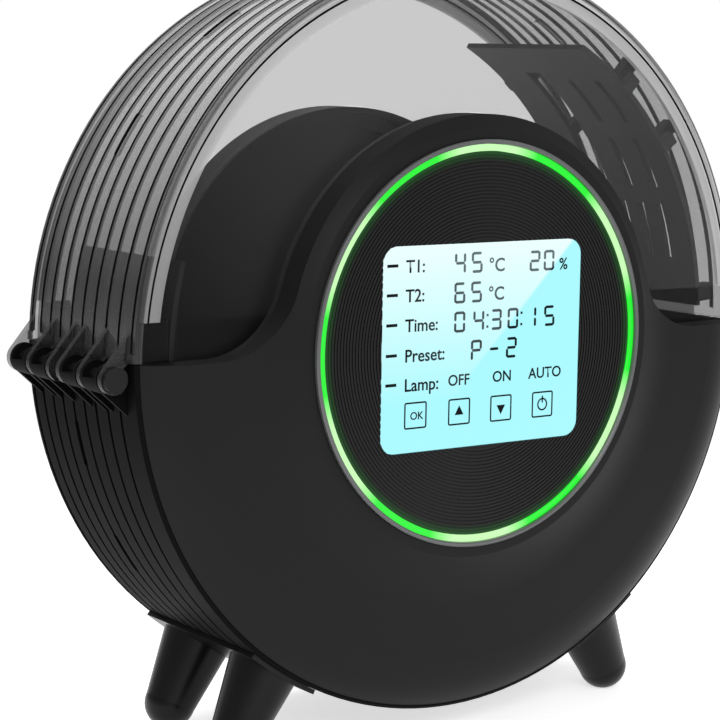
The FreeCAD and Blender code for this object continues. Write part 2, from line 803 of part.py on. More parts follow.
def hinge_pin():
    """Smooth pin with a flat head at the front, from where it slides in."""
    end = f"({GUSSET_BAYS[-1]} * gusset_bay + gusset_thick / 2 + slip_gap)"
    shank = rod("pin_shank", "pin_radius", f"2 * {end}", "-hinge_across", f"-{end}", "-hinge_drop")
    head = rod("pin_front_head", "pin_head", "pin_head_thick", "-hinge_across",
               f"-{end} - pin_head_thick", "-hinge_drop")
    return node(fused("hinge_pin", [shank, head]), "hinge_pin")


# Covers


def dished_cover(label, side, dome, hollow):
    """Cover that rises in a soft curve from the drum's mouth and then into its dome.

    side is -1 for the front and +1 for the rear. dome lists the outer profile from the flat face to
    the middle, and hollow the inner one. A skirt follows the whole outline into the drum.
    """
    face = f"{side} * (drum_depth / 2 + cover_rise)"
    curve_y = f"({side} * (drum_depth / 2 + cover_rise - {RISE_ARC}))"
    curve_r = f"({COVER_RIM} - cover_edge)"
    back = f"{side} * (drum_depth / 2 - cover_skirt)"
    past = f"{side} * (drum_depth / 2 - cover_skirt - cover_wall)"
    inner_rim = f"({COVER_RIM} - cover_wall)"
    inner_y = f"{curve_y} + {side} * sqrt(({RISE_ARC} - cover_wall) ^ 2 - (cover_edge - cover_wall) ^ 2)"
    outer = [
        (f"{side} * drum_depth / 2", COVER_RIM, RISE_ARC, curve_y, curve_r, -side),
        (face, curve_r),
    ]
    outer += dome + [(back, dome[-1][1]), (back, COVER_RIM)]
    inner = [
        (inner_y, inner_rim, f"{RISE_ARC} - cover_wall", curve_y, curve_r, -side),
        (f"{face} - {side} * cover_wall", curve_r),
    ]
    inner += hollow + [(past, "0"), (past, inner_rim)]
    length = "drum_depth + 4 * cover_rise"
    skin = boolean("Common", f"{label}_skin", solid_turn(f"{label}_outer", outer),
                   solid_prism(f"{label}_shape", base_outline(COVER_RIM, "0"), f"-({length}) / 2", length))
    inner_shape = base_outline(inner_rim, "cover_wall")
    space = boolean("Common", f"{label}_space", solid_turn(f"{label}_inner", inner),
                    solid_prism(f"{label}_core", inner_shape, f"-({length}) / 2", length))
    return boolean("Cut", f"{label}_shell", skin, space)


def front_cover():
    """Front cover: dome with the display's round seat, and four long posts for the rear screws."""
    face = "-(drum_depth / 2 + cover_rise)"
    pod_edge = "(pod_bore + pod_land)"
    dome = [
        (face, f"{pod_edge} + pod_blend", POD_ARC, f"{face} - {POD_ARC}", f"{pod_edge} + pod_blend", -1),
        (f"-{POD_FACE}", pod_edge),
        (f"-{POD_FACE}", "pod_bore"),
        (f"-{LEDGE}", "pod_bore"),
        (f"-{LEDGE}", "ledge_radius"),
    ]
    hollow = [(f"-{TRAY_SEAT}", "0")]
    shell = dished_cover("front_cover", -1, dome, hollow)
    posts = []
    for angle in POST_ANGLES:
        x, z = polar("post_circle", angle)
        post = rod(f"post_{angle}", "post_radius", f"{SKIRT_REAR} - seat_gap + drum_depth / 2", x, FRONT, z)
        bore = rod(f"post_{angle}_bore", "screw_radius + seat_gap", "screw_length", x,
                   f"{SKIRT_REAR} - screw_length", z)
        posts.append(boolean("Cut", f"post_{angle}_drilled", post, bore))
    return node(fused("front_cover", [shell] + posts), "front_cover")


def rear_cover():
    """Rear cover: plain dome with vents, the inlet's hole and sunk screw seats."""
    face = "(drum_depth / 2 + cover_rise)"
    top = f"({face} + rear_rise)"
    edge = "(pod_bore + pod_land)"
    dome = [
        (face, f"{edge} + pod_blend", REAR_ARC, f"{face} + {REAR_ARC}", f"{edge} + pod_blend", 1),
        (top, edge),
        (top, "0"),
    ]
    hollow = [
        (f"{face} - cover_wall", f"{edge} - cover_wall"),
        (f"{top} - cover_wall", f"{edge} - cover_wall"),
        (f"{top} - cover_wall", "0"),
    ]
    shell = dished_cover("rear_cover", 1, dome, hollow)
    cutters = [rod("jack_hole", "jack_radius + slip_gap", "cover_rise * 2", "jack_across",
                   f"{face} - cover_rise", "-jack_drop"),
               rod("jack_seat", "jack_flange + slip_gap", "cover_rise * 2", "jack_across",
                   f"{face} - jack_sink", "-jack_drop")]
    for index in range(SIZES["vent_count"]):
        cutters.append(vent_cutter(index, face))
    bosses = []
    for angle in POST_ANGLES:
        x, z = polar("post_circle", angle)
        bosses.append(rod(f"boss_{angle}", "post_radius", "boss_height", x, SKIRT_REAR, z))
        cutters.append(rod(f"screw_hole_{angle}", "screw_radius + slip_gap", "drum_depth", x, "0", z))
        cutters.append(rod(f"screw_sink_{angle}", "screw_head + slip_gap", "cover_rise * 2", x,
                           SCREW_SEAT, z))
    blank = fused("rear_blank", [shell] + bosses)
    return node(boolean("Cut", "rear_cover", blank, fused("rear_cutters", cutters)), "rear_cover")


def vent_cutter(index, face):
    """One upright vent slot of the row low on the rear cover."""
    made = doc.addObject("Part::Box", f"vent_{index}")
    place = f"({index} - (vent_count - 1) / 2) * vent_pitch - vent_width / 2"
    bind(made, Length="vent_width", Width="cover_rise * 2", Height="vent_height")
    return bind(made, Placement__Base__x=place, Placement__Base__y=f"{face} - cover_rise",
                Placement__Base__z="-vent_drop - vent_height / 2")


# Display pod


def trim_ring():
    """Raised satin ring round the light."""
    inner = "pod_bore - slip_gap - trim_width"
    outer = "pod_bore - slip_gap"
    edge = "trim_width / 4"
    front = f"-({POD_FACE} + trim_proud)"
    return turned_body("trim_ring", [
        (f"-{LED_FACE}", inner),
        (f"-{LED_FACE}", outer),
        (f"{front} + {edge}", outer),
        (front, f"{outer} - {edge}"),
        (front, f"{inner} + {edge}"),
        (f"{front} + {edge}", inner),
    ])


def light_ring():
    """Milky light guide: a channel that stands over the row of lamps."""
    inner = f"{RING_OUT} - ring_width"
    front = f"-{POD_FACE}"
    under = f"-({POD_FACE} - ring_skin)"
    return turned_body("light_ring", [
        (f"-{LED_FACE}", RING_OUT),
        (front, RING_OUT),
        (front, inner),
        (f"-{LED_FACE}", inner),
        (f"-{LED_FACE}", f"{inner} + ring_wall"),
        (under, f"{inner} + ring_wall"),
        (under, f"{RING_OUT} - ring_wall"),
        (f"-{LED_FACE}", f"{RING_OUT} - ring_wall"),
    ])


def led_board():
    """Ring-shaped board on the pod's ledge with a lamp at every few degrees."""
    owner = body("led_board")
    outer = "pod_bore - slip_gap"
    corners = box_corners(f"-{LED_FACE}", f"{outer} - led_board_width", f"-{LEDGE}", outer)
    turned(owner, "board", profile(owner, "board_profile", corners))
    middle = f"({RING_OUT} - ring_width / 2)"
    lamp = box_corners("-led_size", f"{middle} - led_size / 2", "led_size", f"{middle} + led_size / 2")
    sketch = across(owner, "lamp_section", lamp, f"-{LED_FACE}")
    made = pad(owner, "lamp", sketch, "led_height")
    repeated(owner, "lamps", made, (sketch, ["N_Axis"]), "led_count", "360")
    return node(owner, "led_board")


def display_face():
    """Black disc with fine ring grooves and the display's rounded window."""
    owner = body("display_face")
    back, front = f"-{LED_FACE}", f"-({LED_FACE} + face_thick)"
    turned(owner, "disc", profile(owner, "disc_profile", box_corners(front, "0", back, FACE_RADIUS)))
    rings = sketch_on(owner, "rings_profile", "YZ_Plane")
    for index in range(SIZES["face_groove_count"]):
        middle = f"({FACE_RADIUS} - {index + 1} * face_groove_pitch)"
        outline(rings, box_corners(f"{front} - overrun", f"{middle} - face_groove_width / 2",
                                   f"{front} + face_groove_depth", f"{middle} + face_groove_width / 2"))
    turned(owner, "rings", rings, kind="Groove")
    window = across(owner, "window_section", rounded_box("window_width", "window_height", "window_corner"),
                    back)
    cut(owner, "window", window, "4 * face_thick")
    return node(owner, "display_face")


def plate(label, width, height, corner, y_back, thick):
    """Flat rounded plate that faces the front, from y_back forward by its thickness."""
    owner = body(label)
    sketch = across(owner, f"{label}_section", rounded_box(width, height, corner), y_back)
    pad(owner, f"{label}_pad", sketch, thick)
    return owner


def touch_glass():
    """Touch window that fills the opening of the display face."""
    owner = plate("touch_glass", "window_width - 2 * slip_gap", "window_height - 2 * slip_gap",
                  "window_corner - slip_gap", f"-{LED_FACE}", "face_thick - glass_recess")
    return node(owner, "touch_glass")


def lcd_module():
    """Display module behind the glass, a little wider than the window."""
    owner = plate("lcd_module", "lcd_width", "lcd_height", "lcd_border",
                  f"-({LED_FACE} - seat_gap - lcd_thick)", "lcd_thick")
    return node(owner, "lcd_module")


def control_board():
    """Main board behind the display, with its chip, relay and plugs on the rear."""
    rear = f"-{BOARD_REAR}"
    owner = plate("control_board", "board_width", "board_height", "lcd_border", rear, "board_thick")
    for name, share_x, share_z, wide, high, tall in BOARD_BLOCKS:
        middle_x, middle_z = f"{share_x} * board_width", f"{share_z} * board_height"
        corners = box_corners(f"{middle_x} - {wide} / 2", f"{middle_z} - {high} / 2",
                              f"{middle_x} + {wide} / 2", f"{middle_z} + {high} / 2")
        pad(owner, name, across(owner, f"{name}_section", corners, rear), tall, reverse=True)
    half = "spacer_width / 2"
    sketch = across(owner, "front_spacer_section", box_corners(f"-{half}", f"-{half}", half, half),
                    f"-({BOARD_REAR} + board_thick)")
    pad(owner, "front_spacer", sketch, "board_gap")
    return node(owner, "control_board")


def pod_tray():
    """Shallow round tray that closes the pod from inside the drum and carries the board."""
    outer = "ledge_radius + tray_flange"
    seat = f"-({TRAY_SEAT} - seat_gap)"
    floor = f"({seat} + tray_depth)"
    owner = body("pod_tray")
    corners = [
        (seat, "ledge_radius - tray_wall"),
        (seat, outer),
        (f"{seat} + tray_wall", outer),
        (f"{seat} + tray_wall", "ledge_radius"),
        (floor, "ledge_radius"),
        (floor, "0"),
        (f"{floor} - tray_wall", "0"),
        (f"{floor} - tray_wall", "ledge_radius - tray_wall"),
    ]
    turned(owner, "tray", profile(owner, "tray_profile", corners))
    posts = sketch_on(owner, "posts_section", "XZ_Plane", f"-({floor} - tray_wall)")
    for side_x in (-1, 1):
        for side_z in (-1, 1):
            circle(posts, f"{side_x} * (board_width / 2 - board_inset)",
                   f"{side_z} * (board_height / 2 - board_inset)", "board_post")
    pad(owner, "posts", posts, f"{floor} - tray_wall + {BOARD_REAR} - seat_gap")
    for angle in POD_SCREW_ANGLES:
        hole = sketch_on(owner, f"hole_{angle}_section", "XZ_Plane", f"-({seat})")
        circle(hole, *polar("ledge_radius + tray_flange / 2", angle), "screw_radius + slip_gap")
        cut(owner, f"hole_{angle}", hole, "4 * tray_wall")
    return node(owner, "pod_tray")


# Liner, heater and sensor


def cage_section(label, start, stop):
    """Body of part of a cage round the spool, from one direction to another."""
    owner = body(label)
    corners = box_corners("-liner_depth / 2", "liner_radius - liner_wall",
                          "liner_depth / 2", "liner_radius")
    sketch = profile(owner, f"{label}_profile", corners)
    bind(sketch, AttachmentOffset__Rotation__Angle=f"90 - ({start} + {stop}) / 2")
    turned(owner, f"{label}_wall", sketch, f"{stop} - {start}")
    return owner


def slit_row(owner, name, angle, places, width, sweep):
    """Cut slits side by side through a cage, centred on a direction; returns the feature and sketch."""
    sketch = sketch_on(owner, f"{name}_profile", "YZ_Plane")
    for place in places:
        outline(sketch, box_corners(f"{place} - ({width}) / 2", "liner_radius - 2 * liner_wall",
                                    f"{place} + ({width}) / 2", "liner_radius + liner_wall"))
    bind(sketch, AttachmentOffset__Rotation__Angle=f"90 - ({angle})")
    return turned(owner, name, sketch, sweep, "Groove"), sketch


def slotted_liner():
    """Slotted cage round the lower part of the spool; its end by the hinge is cut into fingers."""
    owner = cage_section("slotted_liner", "liner_left_end", "liner_right_end")
    places = [f"({index} - (slit_columns - 1) / 2) * slit_pitch" for index in range(SIZES["slit_columns"])]
    slit, sketch = slit_row(owner, "slits", "liner_left_end + slit_sweep / 3", places,
                            "slit_width", "slit_sweep")
    rows = repeated(owner, "slit_row_pattern", slit, (sketch, ["H_Axis"]),
                    "slit_rows", "slit_row_pitch * (slit_rows - 1)")
    rows.Reversed = True
    return node(owner, "slotted_liner")


def lid_deflector():
    """Slotted plate that carries the cage on up inside the lid, held to it by clips on both edges."""
    owner = cage_section("lid_deflector_plate", "deflector_low_end", "deflector_high_end")
    for angle, shares in DEFLECTOR_SLITS:
        places = [f"{share} * deflector_slit_pitch" for share in shares]
        slit_row(owner, f"slits_{angle}", angle, places, "deflector_slit_width", "deflector_slit_sweep")
    slit_row(owner, "window_slit", "window_slit_angle", ["window_slit_offset"],
             "window_slit_width", "window_slit_sweep")
    clips = []
    for angle in CLIP_ANGLES:
        for end, place in ((-1, "front"), (1, "rear")):
            post = f"{end} * (liner_depth / 2 - clip_end_gap)"
            clips.append(radial_rib(f"clip_{angle}_{place}", angle, "liner_radius - liner_wall",
                                    "drum_radius - lid_wall - seat_gap", "clip_width", "clip_depth", post))
            tab = f"{end} * (liner_depth / 2 + tab_reach - tab_depth / 2)"
            clips.append(radial_rib(f"tab_{angle}_{place}", angle, "liner_radius - liner_wall",
                                    "liner_radius + clip_width", "clip_width", "tab_depth", tab))
    return node(fused("lid_deflector", [owner] + clips), "lid_deflector")


def bent_sheet(label, inner, thick, sweep, depth):
    """Sheet bent round the underside of the liner."""
    owner = body(label)
    corners = box_corners(f"-({depth}) / 2", f"-({inner} + {thick})", f"({depth}) / 2", f"-({inner})")
    turned(owner, f"{label}_turn", profile(owner, f"{label}_profile", corners), sweep)
    return node(owner, label)


def sensor_board():
    """Small board with the humidity sensor's cap, on its stand between liner and tub."""
    base = "(drum_radius - tub_wall - sensor_stand - seat_gap)"
    board = sensor_block("sensor_plate", "sensor_width", "sensor_length", "sensor_board", base)
    cap = sensor_block("sensor_cap_block", "sensor_width / 2", "sensor_length / 3", "sensor_cap",
                       f"({base} - sensor_board)")
    return node(fused("sensor_board", [board, cap]), "sensor_board")


def sensor_block(name, width, length, thick, outer):
    """Block whose outer face is square to the radius at the sensor's direction."""
    made = doc.addObject("Part::Box", name)
    bind(made, Length=thick, Width=length, Height=width)
    x, z = polar(f"{outer} - ({thick})", "sensor_angle")
    made.Placement.Rotation = FreeCAD.Rotation(Vector(0, 1, 0), 0)
    bind(made, Placement__Rotation__Angle="sensor_angle")
    made.Placement.Rotation.Axis = Vector(0, -1, 0)
    shift = f"({width}) / 2"
    return bind(made, Placement__Base__x=f"{x} + {shift} * sin(sensor_angle)",
                Placement__Base__y=f"-({length}) / 2",
                Placement__Base__z=f"{z} - {shift} * cos(sensor_angle)")


def dc_jack():
    """Round power inlet: flange in its seat on the rear cover, barrel inside it and a centre pin."""
    seat = "(drum_depth / 2 + cover_rise - jack_sink + seat_gap)"
    spot = ("jack_across", "-jack_drop")
    flange = rod("jack_rim", "jack_flange", "jack_flange_thick", spot[0], seat, spot[1])
    barrel = rod("jack_barrel", "jack_radius", "jack_depth", spot[0], f"{seat} - jack_depth", spot[1])
    floor = f"{seat} + jack_flange_thick - socket_depth"
    socket = rod("jack_hollow", "jack_socket", "socket_depth + overrun", spot[0], floor, spot[1])
    pin = rod("jack_centre", "jack_pin", "socket_depth", spot[0], f"{floor} - overrun", spot[1])
    drilled = boolean("Cut", "jack_drilled", fused("jack_body", [flange, barrel]), socket)
    return node(fused("dc_jack", [drilled, pin]), "dc_jack")


# Rollers


def roller_spot(side):
    """X and Z of a roller's axis, on the side -1 left or +1 right."""
    return f"{side} * {ROLLER_CIRCLE} * sin(roller_angle)", f"-{ROLLER_CIRCLE} * cos(roller_angle)"


def rollers():
    """Four free rollers that carry the spool's rims, each with a shallow waist."""
    for side, hand in ((-1, "left"), (1, "right")):
        for end, place in ((-1, "front"), (1, "rear")):
            x, z = roller_spot(side)
            name = f"roller_{hand}_{place}"
            start = f"{end} * roller_offset - roller_width / 2"
            blank = rod(f"{name}_blank", "roller_radius", "roller_width", x, start, z)
            bore = rod(f"{name}_bore", "axle_radius + run_gap", "roller_width + 2 * overrun", x,
                       f"{start} - overrun", z)
            waist = waist_ring(f"{name}_waist", x, f"{end} * roller_offset", z)
            cutter = fused(f"{name}_cutter", [bore, waist])
            node(boolean("Cut", name, blank, cutter), name)


def waist_ring(name, x, y, z):
    """Torus that takes a shallow waist out of a roller."""
    made = doc.addObject("Part::Torus", name)
    made.Placement.Rotation = FreeCAD.Rotation(Vector(1, 0, 0), 90)
    bind(made, Radius1="roller_radius + roller_width / 2 - roller_groove", Radius2="roller_width / 2")
    return bind(made, Placement__Base__x=x, Placement__Base__y=y, Placement__Base__z=z)


def roller_axles():
    """Plain steel axles through both brackets."""
    length = "2 * (bracket_offset + bracket_thick / 2)"
    for side, hand in ((-1, "left"), (1, "right")):
        x, z = roller_spot(side)
        bar = rod(f"axle_rod_{hand}", "axle_radius", length, x, f"-({length}) / 2", z)
        group(f"roller_axle_{hand}", [bar])


def roller_brackets():
    """Curved brackets that sit in the liner and hold the ends of both axles."""
    outer = "liner_radius - liner_wall - seat_gap"
    inner = f"{outer} - bracket_depth"
    half = "bracket_sweep / 2"
    for end, place in ((-1, "front"), (1, "rear")):
        name = f"roller_bracket_{place}"
        owner = body(name)
        low, high = f"270 - {half}", f"270 + {half}"
        corners = [
            (*polar(outer, low), outer, "0", "0", 1),
            polar(outer, high),
            (*polar(inner, high), inner, "0", "0", -1),
            polar(inner, low),
        ]
        sketch = across(owner, "arc_section", corners, f"{end} * bracket_offset")
        pad(owner, "arc", sketch, "bracket_thick", midplane=True)
        holes = sketch_on(owner, "axle_holes_section", "XZ_Plane", f"-({end} * bracket_offset)")
        for side in (-1, 1):
            circle(holes, *roller_spot(side), "axle_radius + seat_gap / 2")
        cut(owner, "axle_holes", holes, "2 * bracket_thick")
        node(owner, name)


# Legs and screws


def foot(hand, side):
    """Saddle along the drum with two tapered legs that splay outwards and end in round tips."""
    name = f"foot_{hand}"
    saddle = saddle_pad(name, side)
    places = [(place, y) for place, leg_side, y in LEG_PLACES if leg_side == side]
    legs = [leg(f"leg_{place}", side, y) for place, y in places]
    drum = rod(f"{name}_drum", "drum_radius + seat_gap", "2 * drum_depth", "0", "-drum_depth", "0")
    floor = doc.addObject("Part::Box", f"{name}_floor")
    bind(floor, Length="2 * drum_radius", Width="2 * drum_depth", Height="drum_radius")
    bind(floor, Placement__Base__x="-drum_radius", Placement__Base__y="-drum_depth",
         Placement__Base__z="-axis_height - drum_radius")
    holes = [screw_axis(f"leg_hole_{place}", side, y, "screw_radius + seat_gap",
                        "drum_radius - tub_wall", "screw_length + seat_gap") for place, y in places]
    whole = fused(f"{name}_blank", [saddle] + legs)
    return node(boolean("Cut", name, whole, fused(f"{name}_cutter", [drum, floor] + holes)), name)


def foot_angle(side):
    """Direction of a foot's middle, on the side -1 left or +1 right."""
    return "saddle_angle" if side < 0 else "(540 - saddle_angle)"


def saddle_pad(name, side):
    """Curved pad that lies under the drum."""
    middle = foot_angle(side)
    low, high = f"{middle} - saddle_sweep / 2", f"{middle} + saddle_sweep / 2"
    inner, outer = "drum_radius - tub_wall / 2", "drum_radius + saddle_wall"
    corners = [
        (*polar(inner, high), inner, "0", "0", -1),
        polar(inner, low),
        (*polar(outer, low), outer, "0", "0", 1),
        polar(outer, high),
    ]
    return solid_prism(f"{name}_saddle", corners, "-saddle_depth / 2", "saddle_depth")


def leg(name, side, y):
    """Tapered leg from the drum down to a round tip that stands on the floor."""
    middle = foot_angle(side)
    top_x, top_z = polar("(drum_radius - tub_wall)", middle)
    tip_z = "(-axis_height + leg_tip - leg_flat)"
    length = f"(({top_z} - {tip_z}) / cos(leg_tilt))"
    cone = doc.addObject("Part::Cone", f"{name}_taper")
    tilt = 180 + side * -1 * number("leg_tilt")
    cone.Placement.Rotation = FreeCAD.Rotation(Vector(0, 1, 0), tilt)
    bind(cone, Radius1="leg_top", Radius2="leg_tip - seat_gap", Height=length)
    bind(cone, Placement__Base__x=top_x, Placement__Base__y=y, Placement__Base__z=top_z)
    tip = doc.addObject("Part::Sphere", f"{name}_tip")
    bind(tip, Radius="leg_tip")
    bind(tip, Placement__Base__x=f"{top_x} + {side} * {length} * sin(leg_tilt)",
         Placement__Base__y=y, Placement__Base__z=tip_z)
    return fused(name, [cone, tip])


def screw_axis(name, side, y, radius, start, length):
    """Cylinder along the radius at a foot's middle, from a distance off the drum's axis outwards."""
    middle = foot_angle(side)
    x, z = polar(start, middle)
    direction = number(middle)
    made = doc.addObject("Part::Cylinder", name)
    made.Placement.Rotation = FreeCAD.Rotation(Vector(0, 1, 0), 90 - direction)
    bind(made, Radius=radius, Height=length)
    return bind(made, Placement__Base__x=x, Placement__Base__y=y, Placement__Base__z=z)


def foot_screws():
    """Screws from inside the tub into the four legs."""
    top = "drum_radius - tub_wall - seat_gap - screw_head_thick"
    screws = []
    for place, side, y in LEG_PLACES:
        name = f"foot_screw_{place}"
        head = screw_axis(f"{name}_head", side, y, "screw_head", top, "screw_head_thick")
        shank = screw_axis(f"{name}_shank", side, y, "screw_radius", top, "screw_head_thick + screw_length")
        screws.append(fused(name, [head, shank]))
    return group("foot_screws", screws)


def rear_cover_screws():
    """Sunk screws through the rear cover's bosses into the front cover's posts."""
    screws = []
    for angle in POST_ANGLES:
        x, z = polar("post_circle", angle)
        head = rod(f"rear_screw_{angle}_head", "screw_head", "screw_head_thick", x,
                   f"{SCREW_SEAT} + seat_gap", z)
        shank = rod(f"rear_screw_{angle}_shank", "screw_radius", "screw_length", x,
                    f"{SCREW_SEAT} + seat_gap - screw_length", z)
        screws.append(fused(f"rear_screw_{angle}", [head, shank]))
    return group("rear_cover_screws", screws)


def pod_screws():
    """Screws that hold the pod's tray to the back of the display ledge."""
    seat = f"-({TRAY_SEAT} - seat_gap) + tray_wall + seat_gap"
    screws = []
    for angle in POD_SCREW_ANGLES:
        x, z = polar("ledge_radius + tray_flange / 2", angle)
        head = rod(f"pod_screw_{angle}_head", "screw_head", "screw_head_thick", x, seat, z)
        shank = rod(f"pod_screw_{angle}_shank", "screw_radius", "tray_wall + screw_head_thick", x,
                    f"{seat} - tray_wall", z)
        screws.append(fused(f"pod_screw_{angle}", [head, shank]))
    return group("pod_screws", screws)


def build():
    """Make every piece of the dryer."""
    base_tub()
    front_cover()
    rear_cover()
    lid_shell()
    hinge_pin()
    trim_ring()
    light_ring()
    led_board()
    display_face()
    touch_glass()
    lcd_module()
    control_board()
    pod_tray()
    slotted_liner()
    lid_deflector()
    heater = "liner_radius + heater_gap"
    bent_sheet("heater_plate", heater, "heater_wall", "heater_sweep", "heater_depth")
    bent_sheet("heater_film", f"{heater} + heater_wall + film_glue", "heater_film",
               "heater_sweep - 2 * film_margin", "heater_depth - 2 * film_margin")
    sensor_board()
    dc_jack()
    rollers()
    roller_axles()
    roller_brackets()
    foot("left", -1)
    foot("right", 1)
    foot_screws()
    rear_cover_screws()
    pod_screws()


def check_and_write():
    """Stop on any failed object, then write each piece to its own file."""
    doc.recompute()
    failed = [item.Name for item in doc.Objects if {"Invalid", "Error"} & set(item.State)]
    failed += [item.Label for item in NODES if item.Shape.isNull() or not item.Shape.isValid()]
    if failed:
        raise RuntimeError(f"failed objects: {failed}")
    os.makedirs("parts", exist_ok=True)
    for item in NODES:
        item.Shape.exportStep(f"parts/{item.Label}.step")
        print(f"{item.Label}: {len(item.Shape.Solids)} solids, {item.Shape.Volume / 1000:.2f} cm3")


build()
check_and_write()
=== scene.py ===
# %% [markdown]
# # A round filament dryer
#
# The dryer is a ribbed drum on splayed legs. Its lower half and its domed covers are black ABS, its lid
# is clear smoky polycarbonate, and a round pod on the front holds a lit display inside a ring of green
# light. The solids come from the CAD frame, so this lesson adds what the CAD leaves out: the finish of
# every surface, the marks on the display, the studio and the camera.

# %% Load the frame
import math

import bpy
from mathutils import Matrix, Vector


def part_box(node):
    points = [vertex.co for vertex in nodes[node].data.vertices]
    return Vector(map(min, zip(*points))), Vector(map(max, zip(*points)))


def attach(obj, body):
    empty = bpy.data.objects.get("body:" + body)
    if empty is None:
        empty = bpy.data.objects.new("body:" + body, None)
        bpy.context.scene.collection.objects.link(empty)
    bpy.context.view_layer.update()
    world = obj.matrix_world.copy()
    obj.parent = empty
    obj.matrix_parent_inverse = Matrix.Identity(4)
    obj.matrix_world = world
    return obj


MM = 0.001

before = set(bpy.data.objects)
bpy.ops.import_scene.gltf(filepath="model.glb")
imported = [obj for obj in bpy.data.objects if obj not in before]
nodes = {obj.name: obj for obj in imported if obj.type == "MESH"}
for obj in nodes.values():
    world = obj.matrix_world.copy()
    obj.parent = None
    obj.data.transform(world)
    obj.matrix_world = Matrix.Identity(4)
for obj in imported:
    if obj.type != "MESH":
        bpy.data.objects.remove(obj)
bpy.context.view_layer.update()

# %% [markdown]
# ## Places that several finishes share
#
# The drum's axis runs along Y at a fixed height. Most finishes on this object change with the distance
# from that axis or with the depth along it, so both are read from the frame once, here.

# %% Measure the drum
lid_low, lid_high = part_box("lid_shell")
glass_low, glass_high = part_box("touch_glass")
face_low, face_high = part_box("display_face")

AXIS_HEIGHT = (face_low.z + face_high.z) / 2
DRUM_RADIUS = lid_high.z - AXIS_HEIGHT
FACE_RADIUS = (face_high.x - face_low.x) / 2
LIP_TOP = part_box("base_tub")[1].z
print(f"axis {AXIS_HEIGHT / MM:.1f} mm up, drum radius {DRUM_RADIUS / MM:.1f} mm")

# %% [markdown]
# ## Colours and nodes
#
# Blender works in linear light, while colours are usually written as sRGB hex values, so one function
# turns a hex value to linear. A second function adds a shader node, sets its properties, and fills or
# links its inputs, which keeps every material below short: a node given as an input is linked by the
# first of its outputs that is in use. Two small ones start a material, and turn a size in millimetres
# into the scale of a noise.

# %% Helpers for materials
def linear(hex_colour):
    """Linear RGBA of an sRGB hex colour."""
    parts = [int(hex_colour[i:i + 2], 16) / 255 for i in (1, 3, 5)]
    return [p / 12.92 if p <= 0.04045 else ((p + 0.055) / 1.055) ** 2.4 for p in parts] + [1.0]


def add(tree, kind, inputs=None, **settings):
    """Add one node; an input given as a node or a socket is linked, and any other value is set."""
    node = tree.nodes.new(kind)
    for name, value in settings.items():
        setattr(node, name, value)
    for name, value in (inputs or {}).items():
        if isinstance(value, bpy.types.Node):
            value = next(socket for socket in value.outputs if socket.enabled)
        if isinstance(value, bpy.types.NodeSocket):
            tree.links.new(value, node.inputs[name])
        else:
            node.inputs[name].default_value = value
    return node


def surface(name):
    """A new material, its node tree and its shader."""
    material = bpy.data.materials.new(name)
    material.use_nodes = True
    return material, material.node_tree, material.node_tree.nodes["Principled BSDF"]


def per_metre(size_mm):
    """Noise scale that gives specks of a size in millimetres."""
    return 1 / (size_mm * MM)


print("mid grey in linear light:", round(linear("#808080")[0], 3))

# %% [markdown]
# ## Black ABS
#
# The tub, covers and legs are injection-moulded ABS with a fine spark-eroded texture. It gives the eye a
# soft satin sheen with no mirror image, very slightly uneven over a hand's width. The grain of a real
# mould is near 0.1 mm, too fine to show here, so it is drawn at 0.7 mm. One function serves all moulded
# plastics. The ribbed tub is the most matt of them, and the legs are a little glossier than the covers.

# %% Moulded plastics
CLOUD_MM = 45
GRAIN_MM = 0.7
SHEEN_SWING = 0.04


def moulded_plastic(name, dark, light, roughness, gloss=0.2, grain_height_mm=0.01):
    """Moulded thermoplastic with a fine grain and a little cloud in its colour and sheen."""
    material, tree, shader = surface(name)
    place = add(tree, "ShaderNodeTexCoord").outputs["Object"]
    cloud = add(tree, "ShaderNodeTexNoise", {"Vector": place, "Scale": per_metre(CLOUD_MM), "Detail": 3.0})
    colour = add(tree, "ShaderNodeMix", {
        "Factor": cloud.outputs["Fac"], "A": linear(dark), "B": linear(light)}, data_type="RGBA")
    sheen = add(tree, "ShaderNodeMapRange", {
        "Value": cloud.outputs["Fac"], "To Min": roughness - SHEEN_SWING, "To Max": roughness + SHEEN_SWING})
    grain = add(tree, "ShaderNodeTexNoise", {"Vector": place, "Scale": per_metre(GRAIN_MM), "Detail": 2.0})
    bump = add(tree, "ShaderNodeBump", {
        "Height": grain.outputs["Fac"], "Strength": 0.35, "Distance": grain_height_mm * MM})
    tree.links.new(colour.outputs["Result"], shader.inputs["Base Color"])
    tree.links.new(sheen.outputs["Result"], shader.inputs["Roughness"])
    tree.links.new(bump.outputs["Normal"], shader.inputs["Normal"])
    shader.inputs["IOR"].default_value = 1.53
    shader.inputs["Specular IOR Level"].default_value = gloss
    return material


black_abs = moulded_plastic("black_abs", "#191919", "#1e1e1e", 0.48, gloss=0.15)
leg_abs = moulded_plastic("satin_black_abs", "#080808", "#0c0c0c", 0.32, gloss=0.2)
ribbed_abs = moulded_plastic("matt_black_abs", "#0d0d0d", "#111111", 0.62, gloss=0.04)
liner_pp = moulded_plastic("black_polypropylene", "#1d1d1e", "#242425", 0.55)
deflector_pp = moulded_plastic("dark_grey_polypropylene", "#323233", "#393939", 0.55)
roller_pom = moulded_plastic("white_acetal", "#d8d8d2", "#e4e4de", 0.35)
hinge_nylon = moulded_plastic("black_nylon", "#151515", "#1b1b1b", 0.22)
print("moulded plastics made")

